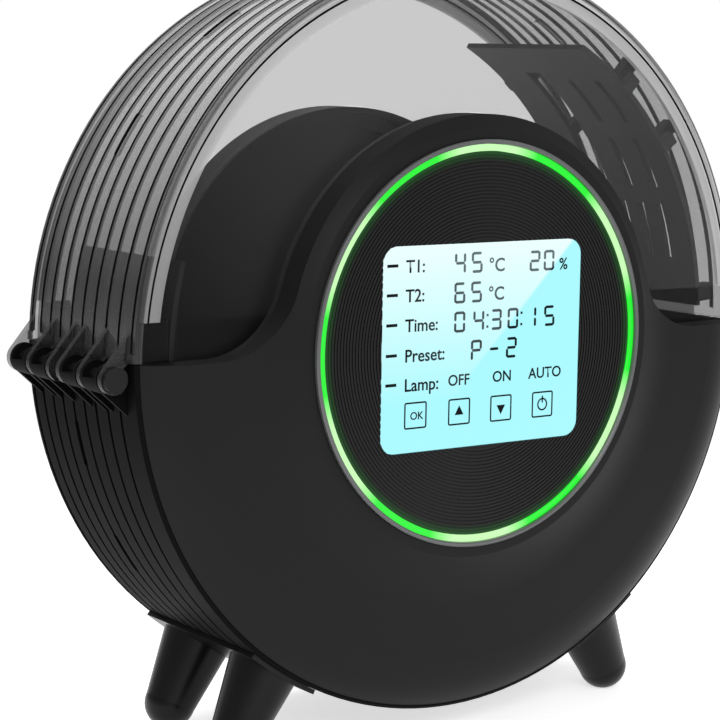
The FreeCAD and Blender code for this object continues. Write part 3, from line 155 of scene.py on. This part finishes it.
# %% [markdown]
# ## Smoky polycarbonate
#
# The lid is one clear moulding with several finishes, which follow each other outwards from the drum's
# axis. The flat ends are polished and only tint what is behind them, with painted light that makes them
# paler over the top. Round their rim runs a pale band of painted light, also paler over the top, which
# stops where the base's lip stands behind it. The ribbed wall is hazy, and its tone holds painted light and
# shade: paler over the top and darker down towards the hinge. The grooves, the crease in the flat end and
# the front corner of the drum turn the light aside, and they are painted as dark lines of shade.
#
# Stepped ramps over the distance from the axis hold all of this: tone and opacity by the hinge, and tone
# and opacity over the top. A real clear plastic would bend light, but a plain alpha keeps the inside lit
# and the picture quiet, so it is used here.

# %% Distance from the drum's axis
def from_axis(tree):
    """Distance from the drum's axis, and the object-space position itself."""
    place = add(tree, "ShaderNodeTexCoord").outputs["Object"]
    centred = add(tree, "ShaderNodeMapping", {"Vector": place, "Location": (0, 0, -AXIS_HEIGHT)})
    flat = add(tree, "ShaderNodeVectorMath", {0: centred, 1: (1, 0, 1)}, operation="MULTIPLY")
    length = add(tree, "ShaderNodeVectorMath", {0: flat}, operation="LENGTH")
    return length.outputs["Value"], place


# %% Lid
RAMP_LOW, RAMP_HIGH = -10 * MM, 2 * MM
DARK_SUM, PALE_SUM = AXIS_HEIGHT - 110 * MM, AXIS_HEIGHT + 20 * MM
CORNER_DEPTH = 1.7 * MM
WALL = 2.3 * MM
# Painted shade: the dark line along the drum's front corner.
CORNER, CORNER_COVER = "#363636", 0.7
# Painted shade: the dark lines in the grooves and in the crease of the flat ends.
PAINTED_LINE_SHADE, PAINTED_LINE_COVER = "#161616", 1.0
PLATE, PLATE_COVER = "#202020", 0.14
# Painted light: every tone over the top is paler than by the hinge, and the pale bands stand for light on the
# rim of the flat ends.
LID_ZONES = [
    # Start of the zone from the drum's radius in mm, tone and opacity by the hinge, and over the top.
    (-10.0, PLATE, PLATE_COVER, "#707070", PLATE_COVER),
    (-8.5, "#a4a4a4", 0.75, "#d8d8d8", 0.75),
    (-4.4, PAINTED_LINE_SHADE, PAINTED_LINE_COVER, PAINTED_LINE_SHADE, PAINTED_LINE_COVER),
    (-3.6, "#a4a4a4", 0.75, "#d8d8d8", 0.75),
    (-2.3, "#484848", 0.62, "#c6c6c6", 0.4),
    (-1.2, PAINTED_LINE_SHADE, PAINTED_LINE_COVER, PAINTED_LINE_SHADE, PAINTED_LINE_COVER),
    (-0.1, "#484848", 0.62, "#c6c6c6", 0.4),
    (0.8, "#333333", 0.5, "#3c3c3c", 0.5),
]

lid_clear, tree, shader = surface("smoky_polycarbonate")
radius, place = from_axis(tree)
zone = add(tree, "ShaderNodeMapRange", {
    "Value": radius, "From Min": DRUM_RADIUS + RAMP_LOW, "From Max": DRUM_RADIUS + RAMP_HIGH})
ramps = [add(tree, "ShaderNodeValToRGB", {"Fac": zone}) for _ in range(4)]
for ramp, column in zip(ramps, (1, 2, 3, 4)):
    ramp.color_ramp.interpolation = "CONSTANT"
    while len(ramp.color_ramp.elements) < len(LID_ZONES):
        ramp.color_ramp.elements.new(1.0)
    for stop, row in zip(ramp.color_ramp.elements, LID_ZONES):
        stop.position = (row[0] * MM - RAMP_LOW) / (RAMP_HIGH - RAMP_LOW)
        stop.color = linear(row[column]) if column % 2 else [row[column]] * 3 + [1.0]
print("lid ramps hold", len(LID_ZONES), "zones")

# %% [markdown]
# Three masks choose between the ramps and the special places: the lift from the hinge to the top, which
# carries the painted light from the darker hinge side to the paler top, the front corner with its painted
# shade line, and the foot of the flat ends, next to the base's lip, where the painted pale band is left out.
# The dark painted lines get no gloss, because a groove holds no broad highlight.

# %% Masks of the lid
parts = add(tree, "ShaderNodeSeparateXYZ", {"Vector": place})
from_hinge = add(tree, "ShaderNodeMath", {0: parts.outputs["X"], 1: parts.outputs["Z"]}, operation="ADD")
# Painted light: this mask makes the lid paler over the top and darker down towards the hinge.
lift = add(tree, "ShaderNodeMapRange", {"Value": from_hinge, "From Min": DARK_SUM, "From Max": PALE_SUM})
near_end = add(tree, "ShaderNodeMath", {0: parts.outputs["Y"], 1: lid_low.y + CORNER_DEPTH},
               operation="LESS_THAN")
near_rim = add(tree, "ShaderNodeMath", {0: radius, 1: DRUM_RADIUS - CORNER_DEPTH}, operation="GREATER_THAN")
corner = add(tree, "ShaderNodeMath", {0: near_end, 1: near_rim}, operation="MULTIPLY")
# At the foot of the flat ends the painted pale band gives way to the clear plate, so the dark lip shows
# through.
by_lip = add(tree, "ShaderNodeMath", {0: parts.outputs["Z"], 1: LIP_TOP}, operation="LESS_THAN")
off_wall = add(tree, "ShaderNodeMath", {0: radius, 1: DRUM_RADIUS - WALL}, operation="LESS_THAN")
foot = add(tree, "ShaderNodeMath", {0: by_lip, 1: off_wall}, operation="MULTIPLY")
print("lid masks made")

# %% Tone and opacity of the lid
# The painted light and shade of the lid are mixed here: the paler top, the dark corner and the foot.
tone = add(tree, "ShaderNodeMix", {"Factor": lift, "A": ramps[0].outputs["Color"],
                                   "B": ramps[2].outputs["Color"]}, data_type="RGBA")
tone = add(tree, "ShaderNodeMix", {"Factor": corner, "A": tone.outputs["Result"], "B": linear(CORNER)},
           data_type="RGBA")
tone = add(tree, "ShaderNodeMix", {"Factor": foot, "A": tone.outputs["Result"], "B": linear(PLATE)},
           data_type="RGBA")
cover = add(tree, "ShaderNodeMix", {"Factor": lift, "A": ramps[1].outputs["Color"],
                                    "B": ramps[3].outputs["Color"]})
cover = add(tree, "ShaderNodeMix", {"Factor": corner, "A": cover.outputs["Result"], "B": CORNER_COVER})
cover = add(tree, "ShaderNodeMix", {"Factor": foot, "A": cover.outputs["Result"], "B": PLATE_COVER})
tree.links.new(tone.outputs["Result"], shader.inputs["Base Color"])
tree.links.new(cover.outputs["Result"], shader.inputs["Alpha"])
gloss = add(tree, "ShaderNodeMapRange", {
    "Value": cover.outputs["Result"], "From Min": CORNER_COVER, "From Max": PAINTED_LINE_COVER,
    "To Min": 0.5, "To Max": 0.0})
tree.links.new(gloss.outputs["Result"], shader.inputs["Specular IOR Level"])
shader.inputs["Roughness"].default_value = 0.25
shader.inputs["IOR"].default_value = 1.58
print("lid finish made")

# %% [markdown]
# ## Light ring
#
# The light guide is milky acrylic over rows of green lamps. In some stretches the light is deep green and
# in others it is paler. A cosine of the angle round the drum's axis makes the stretches, and its slopes
# are steep so that they stay apart. It is lit from inside, which is an emission colour, and its strength
# stays near 1 so that the green doesn't wash out.

# %% Light guide
LIT_STRETCHES = 6
DEEP_EDGE, PALE_EDGE = 0.4, -0.5

light_guide, tree, shader = surface("milky_acrylic_lit_green")
place = add(tree, "ShaderNodeTexCoord").outputs["Object"]
parts = add(tree, "ShaderNodeSeparateXYZ", {"Vector": place})
rise = add(tree, "ShaderNodeMath", {0: parts.outputs["Z"], 1: AXIS_HEIGHT}, operation="SUBTRACT")
angle = add(tree, "ShaderNodeMath", {0: rise, 1: parts.outputs["X"]}, operation="ARCTAN2")
swing = add(tree, "ShaderNodeMath", {0: angle, 1: LIT_STRETCHES}, operation="MULTIPLY")
swing = add(tree, "ShaderNodeMath", {0: swing}, operation="COSINE")
level = add(tree, "ShaderNodeMapRange", {"Value": swing, "From Min": DEEP_EDGE, "From Max": PALE_EDGE})
green = add(tree, "ShaderNodeMix", {
    "Factor": level, "A": linear("#10f024"), "B": linear("#c8ffb6")}, data_type="RGBA")
tree.links.new(green.outputs["Result"], shader.inputs["Emission Color"])
shader.inputs["Emission Strength"].default_value = 1.0
shader.inputs["Base Color"].default_value = linear("#12401a")
shader.inputs["Roughness"].default_value = 0.35
print("light guide with", LIT_STRETCHES, "pale stretches")

# %% [markdown]
# ## Display disc
#
# The disc round the display is black ABS turned with fine rings. Their grooves are in the CAD, and here
# they only get painted shade on their floor, from a wave with the pitch of the grooves. Close to the light
# ring its edge picks up some green, which a thin emission gives more surely than bounced light would.

# %% Display disc
RING_PITCH = 1.28 * MM
GLOW_REACH = 5 * MM

disc_black, tree, shader = surface("ring_turned_black_abs")
radius, _ = from_axis(tree)
# Painted shade: the floors of the grooves are darker.
inward = add(tree, "ShaderNodeMath", {0: FACE_RADIUS, 1: radius}, operation="SUBTRACT")
turns = add(tree, "ShaderNodeMath", {0: inward, 1: 2 * math.pi / RING_PITCH}, operation="MULTIPLY")
rings = add(tree, "ShaderNodeMath", {0: turns}, operation="COSINE")
groove_shade = add(tree, "ShaderNodeMapRange", {"Value": rings, "From Min": -1.0})
shade = add(tree, "ShaderNodeMix", {
    "Factor": groove_shade, "A": linear("#1e1e1e"), "B": linear("#0b0b0b")}, data_type="RGBA")
glow = add(tree, "ShaderNodeMapRange", {
    "Value": radius, "From Min": FACE_RADIUS - GLOW_REACH, "From Max": FACE_RADIUS},
    interpolation_type="SMOOTHSTEP")
glow = add(tree, "ShaderNodeMath", {0: glow, 1: 2.0}, operation="POWER")
green = add(tree, "ShaderNodeMix", {
    "Factor": glow, "A": linear("#000000"), "B": linear("#05430d")}, data_type="RGBA")
tree.links.new(shade.outputs["Result"], shader.inputs["Base Color"])
tree.links.new(green.outputs["Result"], shader.inputs["Emission Color"])
shader.inputs["Emission Strength"].default_value = 1.0
shader.inputs["Roughness"].default_value = 0.4
shader.inputs["Specular IOR Level"].default_value = 0.2
print(f"display disc, ring pitch {RING_PITCH / MM:.2f} mm")

# %% [markdown]
# ## Window and trim
#
# The window is a lit panel under glass with a pale sweep towards its upper left, as if a lamp were mirrored
# in it. Light from inside is an emission colour, and the sweep is drawn into it, because a mirrored lamp
# would move with every view. The trim is satin grey ABS with a thin metallic lacquer.

# %% Lit window
SWEEP_LOW, SWEEP_HIGH = -6 * MM, -4 * MM
GLARE_FOOT, GLARE_TOP = -20 * MM, 36 * MM


def glare(tree):
    """Strength of the pale sweep over the window, and the position across it."""
    place = add(tree, "ShaderNodeTexCoord").outputs["Object"]
    parts = add(tree, "ShaderNodeSeparateXYZ", {"Vector": place})
    rise = add(tree, "ShaderNodeMath", {0: parts.outputs["Z"], 1: AXIS_HEIGHT}, operation="SUBTRACT")
    sweep = add(tree, "ShaderNodeMath", {0: rise, 1: parts.outputs["X"]}, operation="SUBTRACT")
    edge = add(tree, "ShaderNodeMapRange", {"Value": sweep, "From Min": SWEEP_LOW, "From Max": SWEEP_HIGH})
    rising = add(tree, "ShaderNodeMapRange", {"Value": rise, "From Min": GLARE_FOOT, "From Max": GLARE_TOP})
    return add(tree, "ShaderNodeMath", {0: edge, 1: rising}, operation="MULTIPLY"), parts.outputs["X"]


window_lit, tree, shader = surface("lit_display_glass")
pale, _ = glare(tree)
cyan = add(tree, "ShaderNodeMix", {
    "Factor": pale, "A": linear("#a6f8ff"), "B": linear("#eaffff")}, data_type="RGBA")
tree.links.new(cyan.outputs["Result"], shader.inputs["Emission Color"])
shader.inputs["Emission Strength"].default_value = 0.97
shader.inputs["Base Color"].default_value = linear("#10191b")
shader.inputs["Roughness"].default_value = 0.15
print("lit window", [round(size / MM, 1) for size in glass_high - glass_low], "mm")

# %% Trim ring
trim_grey = moulded_plastic("satin_grey_abs", "#6c6d6e", "#7a7b7c", 0.32, grain_height_mm=0.004)
trim_grey.node_tree.nodes["Principled BSDF"].inputs["Metallic"].default_value = 0.3
print("trim finish made")

# %% [markdown]
# ## Hidden pieces
#
# The boards, heater, screws and axles are seen only with the lid open or from behind, but each still gets
# the finish of its real material: solder mask, rolled aluminium, amber polyimide film and drawn steel. A
# noise that is stretched along one axis gives the lines of rolled and drawn metal.

# %% Metals, boards and film
LINE_STRETCH = 0.04
METAL_SWING = 0.08


def rolled_metal(name, tone, roughness, line_mm):
    """Bare metal with the fine straight lines that rolling or drawing leaves along Y."""
    material, tree, shader = surface(name)
    place = add(tree, "ShaderNodeTexCoord").outputs["Object"]
    along = add(tree, "ShaderNodeMapping", {"Vector": place, "Scale": (1, LINE_STRETCH, 1)})
    lines = add(tree, "ShaderNodeTexNoise", {"Vector": along, "Scale": per_metre(line_mm)})
    sheen = add(tree, "ShaderNodeMapRange", {
        "Value": lines.outputs["Fac"], "To Min": roughness - METAL_SWING, "To Max": roughness + METAL_SWING})
    tree.links.new(sheen.outputs["Result"], shader.inputs["Roughness"])
    shader.inputs["Base Color"].default_value = linear(tone)
    shader.inputs["Metallic"].default_value = 1.0
    return material


drawn_steel = rolled_metal("drawn_steel", "#b4b4b2", 0.3, 0.8)
sheet_aluminium = rolled_metal("rolled_aluminium", "#cfcfce", 0.38, 1.2)
solder_mask = moulded_plastic("green_solder_mask", "#10351f", "#164528", 0.3)
polyimide = moulded_plastic("amber_polyimide", "#a85a12", "#bd6c1a", 0.28)
print("hidden finishes made")

# %% [markdown]
# ## Give every CAD node its finish
#
# A CAD node keeps its shape, and only its material slots change. A table from finish to nodes is easier to
# check than a line for each node.

# %% Assign the finishes
FINISHES = {
    ribbed_abs: ["base_tub"],
    black_abs: ["front_cover", "rear_cover", "pod_tray", "dc_jack"],
    leg_abs: ["foot_left", "foot_right"],
    lid_clear: ["lid_shell"],
    hinge_nylon: ["hinge_pin"],
    trim_grey: ["trim_ring"],
    light_guide: ["light_ring"],
    disc_black: ["display_face"],
    window_lit: ["touch_glass", "lcd_module"],
    solder_mask: ["led_board", "control_board", "sensor_board"],
    liner_pp: ["slotted_liner", "roller_bracket_front", "roller_bracket_rear"],
    deflector_pp: ["lid_deflector"],
    sheet_aluminium: ["heater_plate"],
    polyimide: ["heater_film"],
    roller_pom: ["roller_left_front", "roller_left_rear", "roller_right_front", "roller_right_rear"],
    drawn_steel: ["roller_axle_left", "roller_axle_right", "foot_screws", "rear_cover_screws", "pod_screws"],
}

for material, names in FINISHES.items():
    for name in names:
        nodes[name].data.materials.clear()
        nodes[name].data.materials.append(material)
dressed = sum(len(names) for names in FINISHES.values())
print("nodes dressed:", dressed, "of", len(nodes))

# %% [markdown]
# ## Marks on the display
#
# The display shows rows of dark liquid-crystal marks: a dash before each row, a label, seven-segment
# figures, and four outlined keys. They could be painted into the window's material, but as meshes they
# stay sharp. Each mark is drawn flat with the window's centre as the origin, and then all are stood up on
# the glass together. All places are in millimetres from that centre.

# %% Layout of the display, from its centre
INK_THICK = 0.06 * MM
ROWS = [30.2, 19.8, 9.2, -1.6, -12.1]
DASH_LEFT, DASH_WIDE, DASH_TALL = -43.6, 4.8, 1.1
LABEL_LEFT, LABEL_CAP, LETTER_SWELL = -35.4, 4.7, 0.02
FIGURE_WIDE, FIGURE_TALL, STROKE = 5.0, 7.6, 1.0
KEY_WIDE, KEY_TALL, KEY_LINE = 10.0, 9.7, 0.6
KEY_MIDDLES = [(-30.1, -23.6), (-10.4, -23.8), (8.9, -24.0), (28.6, -24.1)]
print("display rows:", len(ROWS), "keys:", len(KEY_MIDDLES))

# %% [markdown]
# The ink of the display is near black. Where the pale sweep of the window, a painted reflection, crosses
# it away from the left edge, the ink is painted grey, as a reflection over it would wash it out. The same
# helper draws the sweep for both, so they always agree.

# %% Ink of the display
WASH_LEFT, WASH_RIGHT = -35 * MM, -8 * MM
FADE_MM = 14

liquid_ink, tree, shader = surface("liquid_crystal_ink")
place = add(tree, "ShaderNodeTexCoord").outputs["Object"]
fade = add(tree, "ShaderNodeTexNoise", {"Vector": place, "Scale": per_metre(FADE_MM)})
tone = add(tree, "ShaderNodeMix", {
    "Factor": fade.outputs["Fac"], "A": linear("#050b0d"), "B": linear("#0a1316")}, data_type="RGBA")
pale, across = glare(tree)
# Painted reflection: under the window's pale sweep the ink turns grey.
inner = add(tree, "ShaderNodeMapRange", {
    "Value": across, "From Min": WASH_LEFT, "From Max": WASH_RIGHT, "To Max": 0.6})
reflection_wash = add(tree, "ShaderNodeMath", {0: pale, 1: inner}, operation="MULTIPLY")
tone = add(tree, "ShaderNodeMix", {
    "Factor": reflection_wash, "A": tone.outputs["Result"], "B": linear("#93a7aa")}, data_type="RGBA")
tree.links.new(tone.outputs["Result"], shader.inputs["Base Color"])
shader.inputs["Roughness"].default_value = 0.5
shader.inputs["Specular IOR Level"].default_value = 0.1
print("display ink made")

# %% [markdown]
# There are two kinds of flat mark. A bar is a plane of a given size, and a word is text turned to a mesh.

# %% Helpers that draw flat marks
CAP_SHARE = 0.73


def start_fresh():
    """Leave edit mode and select nothing."""
    if bpy.context.object and bpy.context.object.mode != "OBJECT":
        bpy.ops.object.mode_set(mode="OBJECT")
    bpy.ops.object.select_all(action="DESELECT")


def bar(middle, wide, tall, cut=0.0):
    """Flat bar, with its corners cut off where a cut is given."""
    start_fresh()
    bpy.ops.mesh.primitive_plane_add(size=1, location=(middle[0] * MM, middle[1] * MM, 0))
    made = bpy.context.object
    made.scale = (wide * MM, tall * MM, 1)
    bpy.ops.object.transform_apply(location=True, scale=True)
    if cut:
        bpy.ops.object.mode_set(mode="EDIT")
        bpy.ops.mesh.bevel(offset=cut * MM, affect="VERTICES", segments=1)
        bpy.ops.object.mode_set(mode="OBJECT")
    return made


def word(text, left, base, cap):
    """Lettering with its cap height, starting at the left on a base line."""
    start_fresh()
    bpy.ops.object.text_add(location=(left * MM, base * MM, 0))
    made = bpy.context.object
    made.data.body = text
    made.data.size = cap * MM / CAP_SHARE
    made.data.offset = LETTER_SWELL * cap * MM
    made.data.resolution_u = 4
    bpy.ops.object.convert(target="MESH")
    bpy.ops.object.transform_apply(location=True)
    return bpy.context.object


# %% [markdown]
# Real marks of this kind lie in a thin layer under the glass. Here each group of them is joined, made
# 0.06 mm thick and stood up on the window's front, so that they are meshes that can be seen and exported.

# %% Helper that stands marks on the window
def on_glass(name, marks):
    """Join flat marks, give them their thickness, and stand them on the window's front."""
    start_fresh()
    for mark in marks:
        mark.select_set(True)
    bpy.context.view_layer.objects.active = marks[0]
    bpy.ops.object.join()
    made = bpy.context.object
    made.name = name
    solid = made.modifiers.new("thickness", "SOLIDIFY")
    solid.thickness = INK_THICK
    solid.offset = 1.0
    bpy.ops.object.modifier_apply(modifier="thickness")
    made.rotation_euler = (math.pi / 2, 0, 0)
    made.location = (0, glass_low.y, AXIS_HEIGHT)
    bpy.ops.object.transform_apply(location=True, rotation=True)
    made.data.materials.clear()
    made.data.materials.append(liquid_ink)
    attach(made, "base")
    print(name, "from", len(marks), "marks")


# %% [markdown]
# A seven-segment figure has up to seven bars with cut corners, some upright and some level. Each figure
# lists the segments that are on: a is the top bar, b to f go round clockwise, and g is the middle bar. One
# helper that reads this list makes every figure alike.

# %% Seven-segment figures
SEGMENTS = {
    "0": "abcdef", "1": "bc", "2": "abged", "3": "abgcd", "4": "fgbc", "5": "afgcd", "6": "afgedc",
    "7": "abc", "8": "abcdefg", "9": "abcdfg", "P": "abefg", "-": "g",
}
HALF_TALL = FIGURE_TALL / 2
CORNER_CUT = STROKE * 0.4
UPRIGHT_TALL = HALF_TALL - STROKE * 0.7
LEVEL_BARS = {"a": FIGURE_TALL - STROKE / 2, "g": HALF_TALL, "d": STROKE / 2}
UPRIGHT_BARS = {"f": (STROKE / 2, 1.5), "b": (FIGURE_WIDE - STROKE / 2, 1.5),
                "e": (STROKE / 2, 0.5), "c": (FIGURE_WIDE - STROKE / 2, 0.5)}


def figure(sign, left, base):
    """The lit bars of one figure."""
    made = []
    for segment in SEGMENTS[sign]:
        if segment in LEVEL_BARS:
            middle = (left + FIGURE_WIDE / 2, base + LEVEL_BARS[segment])
            made.append(bar(middle, FIGURE_WIDE - STROKE, STROKE, CORNER_CUT))
        else:
            across, halves = UPRIGHT_BARS[segment]
            middle = (left + across, base + HALF_TALL * halves)
            made.append(bar(middle, STROKE, UPRIGHT_TALL, CORNER_CUT))
    return made


def figures(text, lefts, base):
    """A row of figures at given left edges."""
    return [piece for sign, left in zip(text, lefts) for piece in figure(sign, left, base)]


# %% Figures in their rows
CLOCK_BASE = ROWS[2] - 4.2
COLONS, DOT_RISES, DOT_SIZE = (1.75, 17.6), (1.4, 5.6), 0.9
FIGURE_ROWS = [
    # Signs, left edge of each, and base line.
    ("45", [-13.7, -6.1], ROWS[0] - 4.0),
    ("20", [20.9, 27.6], ROWS[0] - 4.6),
    ("65", [-13.7, -6.1], ROWS[1] - 4.3),
    ("043015", [-13.5, -4.8, 3.3, 11.1, 19.6, 28.4], CLOCK_BASE),
    ("P-2", [-5.6, 2.6, 10.7], ROWS[3] - 4.1),
]

digits = [piece for text, lefts, base in FIGURE_ROWS for piece in figures(text, lefts, base)]
digits += [bar((colon, CLOCK_BASE + rise), DOT_SIZE, DOT_SIZE) for colon in COLONS for rise in DOT_RISES]
on_glass("display_figures", digits)

# %% [markdown]
# A short dash starts each row. Labels, choices and units are plain lettering, which is text turned to a
# mesh and swelled a little, because the font that comes with Blender is thinner than such a display's.

# %% Dashes, labels and units
on_glass("display_row_marks", [bar((DASH_LEFT + DASH_WIDE / 2, row), DASH_WIDE, DASH_TALL) for row in ROWS])

LABEL_DROP = LABEL_CAP / 2 + 0.3
CHOICE_BASE, CHOICE_CAP = -14.1, 4.1
DEGREE_LEFT, DEGREE_DROP, DEGREE_CAP = 1.8, 3.8, 5.0
PERCENT_LEFT, PERCENT_CAP = 35.0, 4.4

labels = [word(text, LABEL_LEFT, row - LABEL_DROP, LABEL_CAP)
          for text, row in zip(("T1:", "T2:", "Time:", "Preset:", "Lamp:"), ROWS)]
labels += [word(text, left, CHOICE_BASE, CHOICE_CAP)
           for text, left in (("OFF", -15.8), ("ON", 4.6), ("AUTO", 21.6))]
labels += [word("°C", DEGREE_LEFT, row - DEGREE_DROP, DEGREE_CAP) for row in ROWS[:2]]
labels.append(word("%", PERCENT_LEFT, ROWS[0] - PERCENT_CAP, PERCENT_CAP))
on_glass("display_words", labels)

# %% [markdown]
# The keys are touch areas printed as rounded outlines. A rounded plate is beveled at its corners, then
# inset, and the inner face is deleted, which leaves the outline.

# %% Keys
KEY_CORNER = 0.9
ARROW_RADIUS = 2.3
POWER_RADIUS, POWER_LINE, POWER_BAR, POWER_BAR_RISE = 2.4, 0.6, 2.6, 1.9


def key_outline(middle):
    """Rounded outline of one touch key."""
    made = bar(middle, KEY_WIDE, KEY_TALL)
    bpy.ops.object.mode_set(mode="EDIT")
    bpy.ops.mesh.select_all(action="SELECT")
    bpy.ops.mesh.bevel(offset=KEY_CORNER * MM, affect="VERTICES", segments=4)
    bpy.ops.mesh.select_all(action="SELECT")
    bpy.ops.mesh.inset(thickness=KEY_LINE * MM)
    bpy.ops.mesh.delete(type="FACE")
    bpy.ops.object.mode_set(mode="OBJECT")
    return made


def arrow(middle, up):
    """Filled triangle that points up or down."""
    start_fresh()
    turn = 0 if up else math.pi
    bpy.ops.mesh.primitive_circle_add(
        vertices=3, radius=ARROW_RADIUS * MM, fill_type="NGON",
        location=(middle[0] * MM, middle[1] * MM, 0), rotation=(0, 0, turn))
    bpy.ops.object.transform_apply(location=True, rotation=True)
    return bpy.context.object


def power_sign(middle):
    """Ring with a bar through its top."""
    start_fresh()
    bpy.ops.mesh.primitive_circle_add(
        vertices=32, radius=POWER_RADIUS * MM, fill_type="NGON", location=(middle[0] * MM, middle[1] * MM, 0))
    ring = bpy.context.object
    bpy.ops.object.transform_apply(location=True)
    bpy.ops.object.mode_set(mode="EDIT")
    bpy.ops.mesh.select_all(action="SELECT")
    bpy.ops.mesh.inset(thickness=POWER_LINE * MM)
    bpy.ops.mesh.delete(type="FACE")
    bpy.ops.object.mode_set(mode="OBJECT")
    return [ring, bar((middle[0], middle[1] + POWER_BAR_RISE), POWER_LINE, POWER_BAR)]


# %% [markdown]
# The signs are a short word, two arrows and a power sign. An arrow is a filled circle of three corners.

# %% Signs on the keys
OK_LEFT, OK_DROP, OK_CAP = 2.4, 1.5, 2.9

signs = [key_outline(middle) for middle in KEY_MIDDLES]
signs.append(word("OK", KEY_MIDDLES[0][0] - OK_LEFT, KEY_MIDDLES[0][1] - OK_DROP, OK_CAP))
signs += [arrow(KEY_MIDDLES[1], True), arrow(KEY_MIDDLES[2], False)]
signs += power_sign(KEY_MIDDLES[3])
on_glass("display_keys", signs)

# %% [markdown]
# ## Studio
#
# The dryer stands on a pale paper floor that runs out into white. The floor fades to a plain white glow
# with the distance, so no horizon shows, and for the camera it glows by itself, to keep the shadow pale.

# %% Floor
WORLD_LEVEL = 0.4
SHADOW_LIFT = 0.65
FLOOR_SIZE = 8
PAPER_END, WHITE_START = 0.25, 0.75

start_fresh()
bpy.ops.mesh.primitive_plane_add(size=FLOOR_SIZE, location=(0, 0, 0))
floor = bpy.context.object
floor.name = "studio_floor"
floor_paper, tree, shader = surface("white_paper_floor")
path = add(tree, "ShaderNodeLightPath")
seen = add(tree, "ShaderNodeMath", {
    0: path.outputs["Is Camera Ray"], 1: path.outputs["Is Glossy Ray"]}, operation="MAXIMUM")
level = add(tree, "ShaderNodeMapRange", {"Value": seen, "To Min": WORLD_LEVEL, "To Max": 1.0})
lift = add(tree, "ShaderNodeMath", {0: seen, 1: SHADOW_LIFT}, operation="MULTIPLY")
place = add(tree, "ShaderNodeTexCoord").outputs["Object"]
reach = add(tree, "ShaderNodeVectorMath", {0: place}, operation="LENGTH")
far = add(tree, "ShaderNodeMapRange", {
    "Value": reach.outputs["Value"], "From Min": PAPER_END, "From Max": WHITE_START},
    interpolation_type="SMOOTHSTEP")
glow = add(tree, "ShaderNodeEmission", {"Color": linear("#ffffff"), "Strength": level})
blend = add(tree, "ShaderNodeMixShader", {
    "Fac": far.outputs["Result"], 1: shader.outputs["BSDF"], 2: glow.outputs["Emission"]})
tree.links.new(blend.outputs["Shader"], tree.nodes["Material Output"].inputs["Surface"])
shader.inputs["Base Color"].default_value = linear("#f6f6f6")
shader.inputs["Roughness"].default_value = 0.6
shader.inputs["Emission Color"].default_value = linear("#ffffff")
tree.links.new(lift.outputs["Value"], shader.inputs["Emission Strength"])
floor.data.materials.append(floor_paper)
print("floor ready")

# %% [markdown]
# The white of the background is only for the camera: what lights the object is a dimmer level, so that
# black stays black.

# %% World
world = bpy.data.worlds.new("white_studio")
bpy.context.scene.world = world
world.use_nodes = True
tree = world.node_tree
path = add(tree, "ShaderNodeLightPath")
seen = add(tree, "ShaderNodeMath", {
    0: path.outputs["Is Camera Ray"], 1: path.outputs["Is Transmission Ray"]}, operation="MAXIMUM")
level = add(tree, "ShaderNodeMapRange", {"Value": seen, "To Min": WORLD_LEVEL, "To Max": 1.0})
back = tree.nodes["Background"]
back.inputs["Color"].default_value = linear("#ffffff")
tree.links.new(level.outputs["Result"], back.inputs["Strength"])
print("world ready")

# %% [markdown]
# The light is soft: a big lamp like a window on the upper left, a weak one on the right, and one overhead
# for the drum's top. Area lamps give the broad highlights that satin plastic shows.

# %% Lamps
def softbox(name, place, aim, size, watts):
    """Square area lamp at a place, turned towards a point."""
    start_fresh()
    bpy.ops.object.light_add(type="AREA", location=place)
    lamp = bpy.context.object
    lamp.name = name
    lamp.data.size = size
    lamp.data.energy = watts
    lamp.rotation_euler = (Vector(aim) - Vector(place)).to_track_quat("-Z", "Y").to_euler()


AIM = (0, 0, AXIS_HEIGHT)
softbox("key_left", (-0.6, -1.4, 1.1), AIM, 0.9, 10)
softbox("fill_right", (1.2, -0.9, 0.7), AIM, 0.8, 1.6)
softbox("top", (0.1, 0.4, 1.4), AIM, 0.9, 11)
print("three softboxes")

# %% [markdown]
# ## Camera
#
# The camera stands to the left of the display and a little above the drum's axis, with a long lens, and
# frames the drum so closely that its edges leave the picture. Yaw, pitch and roll are easier to fit than a
# point to look at, so the camera's axes are built from them.

# %% Camera
IMAGE_SIZE = 720
FOCAL_PIXELS = 2290
CAMERA_PLACE = Vector((-0.51439, -0.69399, 0.25282))
YAW, PITCH, ROLL = math.radians(35.55), math.radians(-7.77), math.radians(0.89)

look = Vector((math.sin(YAW) * math.cos(PITCH), math.cos(YAW) * math.cos(PITCH), math.sin(PITCH)))
level_right = Vector((math.cos(YAW), -math.sin(YAW), 0))
level_up = level_right.cross(look)
right = level_right * math.cos(ROLL) + level_up * math.sin(ROLL)
up = level_up * math.cos(ROLL) - level_right * math.sin(ROLL)

start_fresh()
bpy.ops.object.camera_add()
camera = bpy.context.object
camera.matrix_world = Matrix.Translation(CAMERA_PLACE) @ Matrix((right, up, -look)).transposed().to_4x4()
camera.data.sensor_width = 36
camera.data.lens = FOCAL_PIXELS / IMAGE_SIZE * camera.data.sensor_width
camera.data.clip_start = 0.01
bpy.context.scene.camera = camera
bpy.context.scene.view_settings.view_transform = "Standard"
print(f"lens {camera.data.lens:.1f} mm")
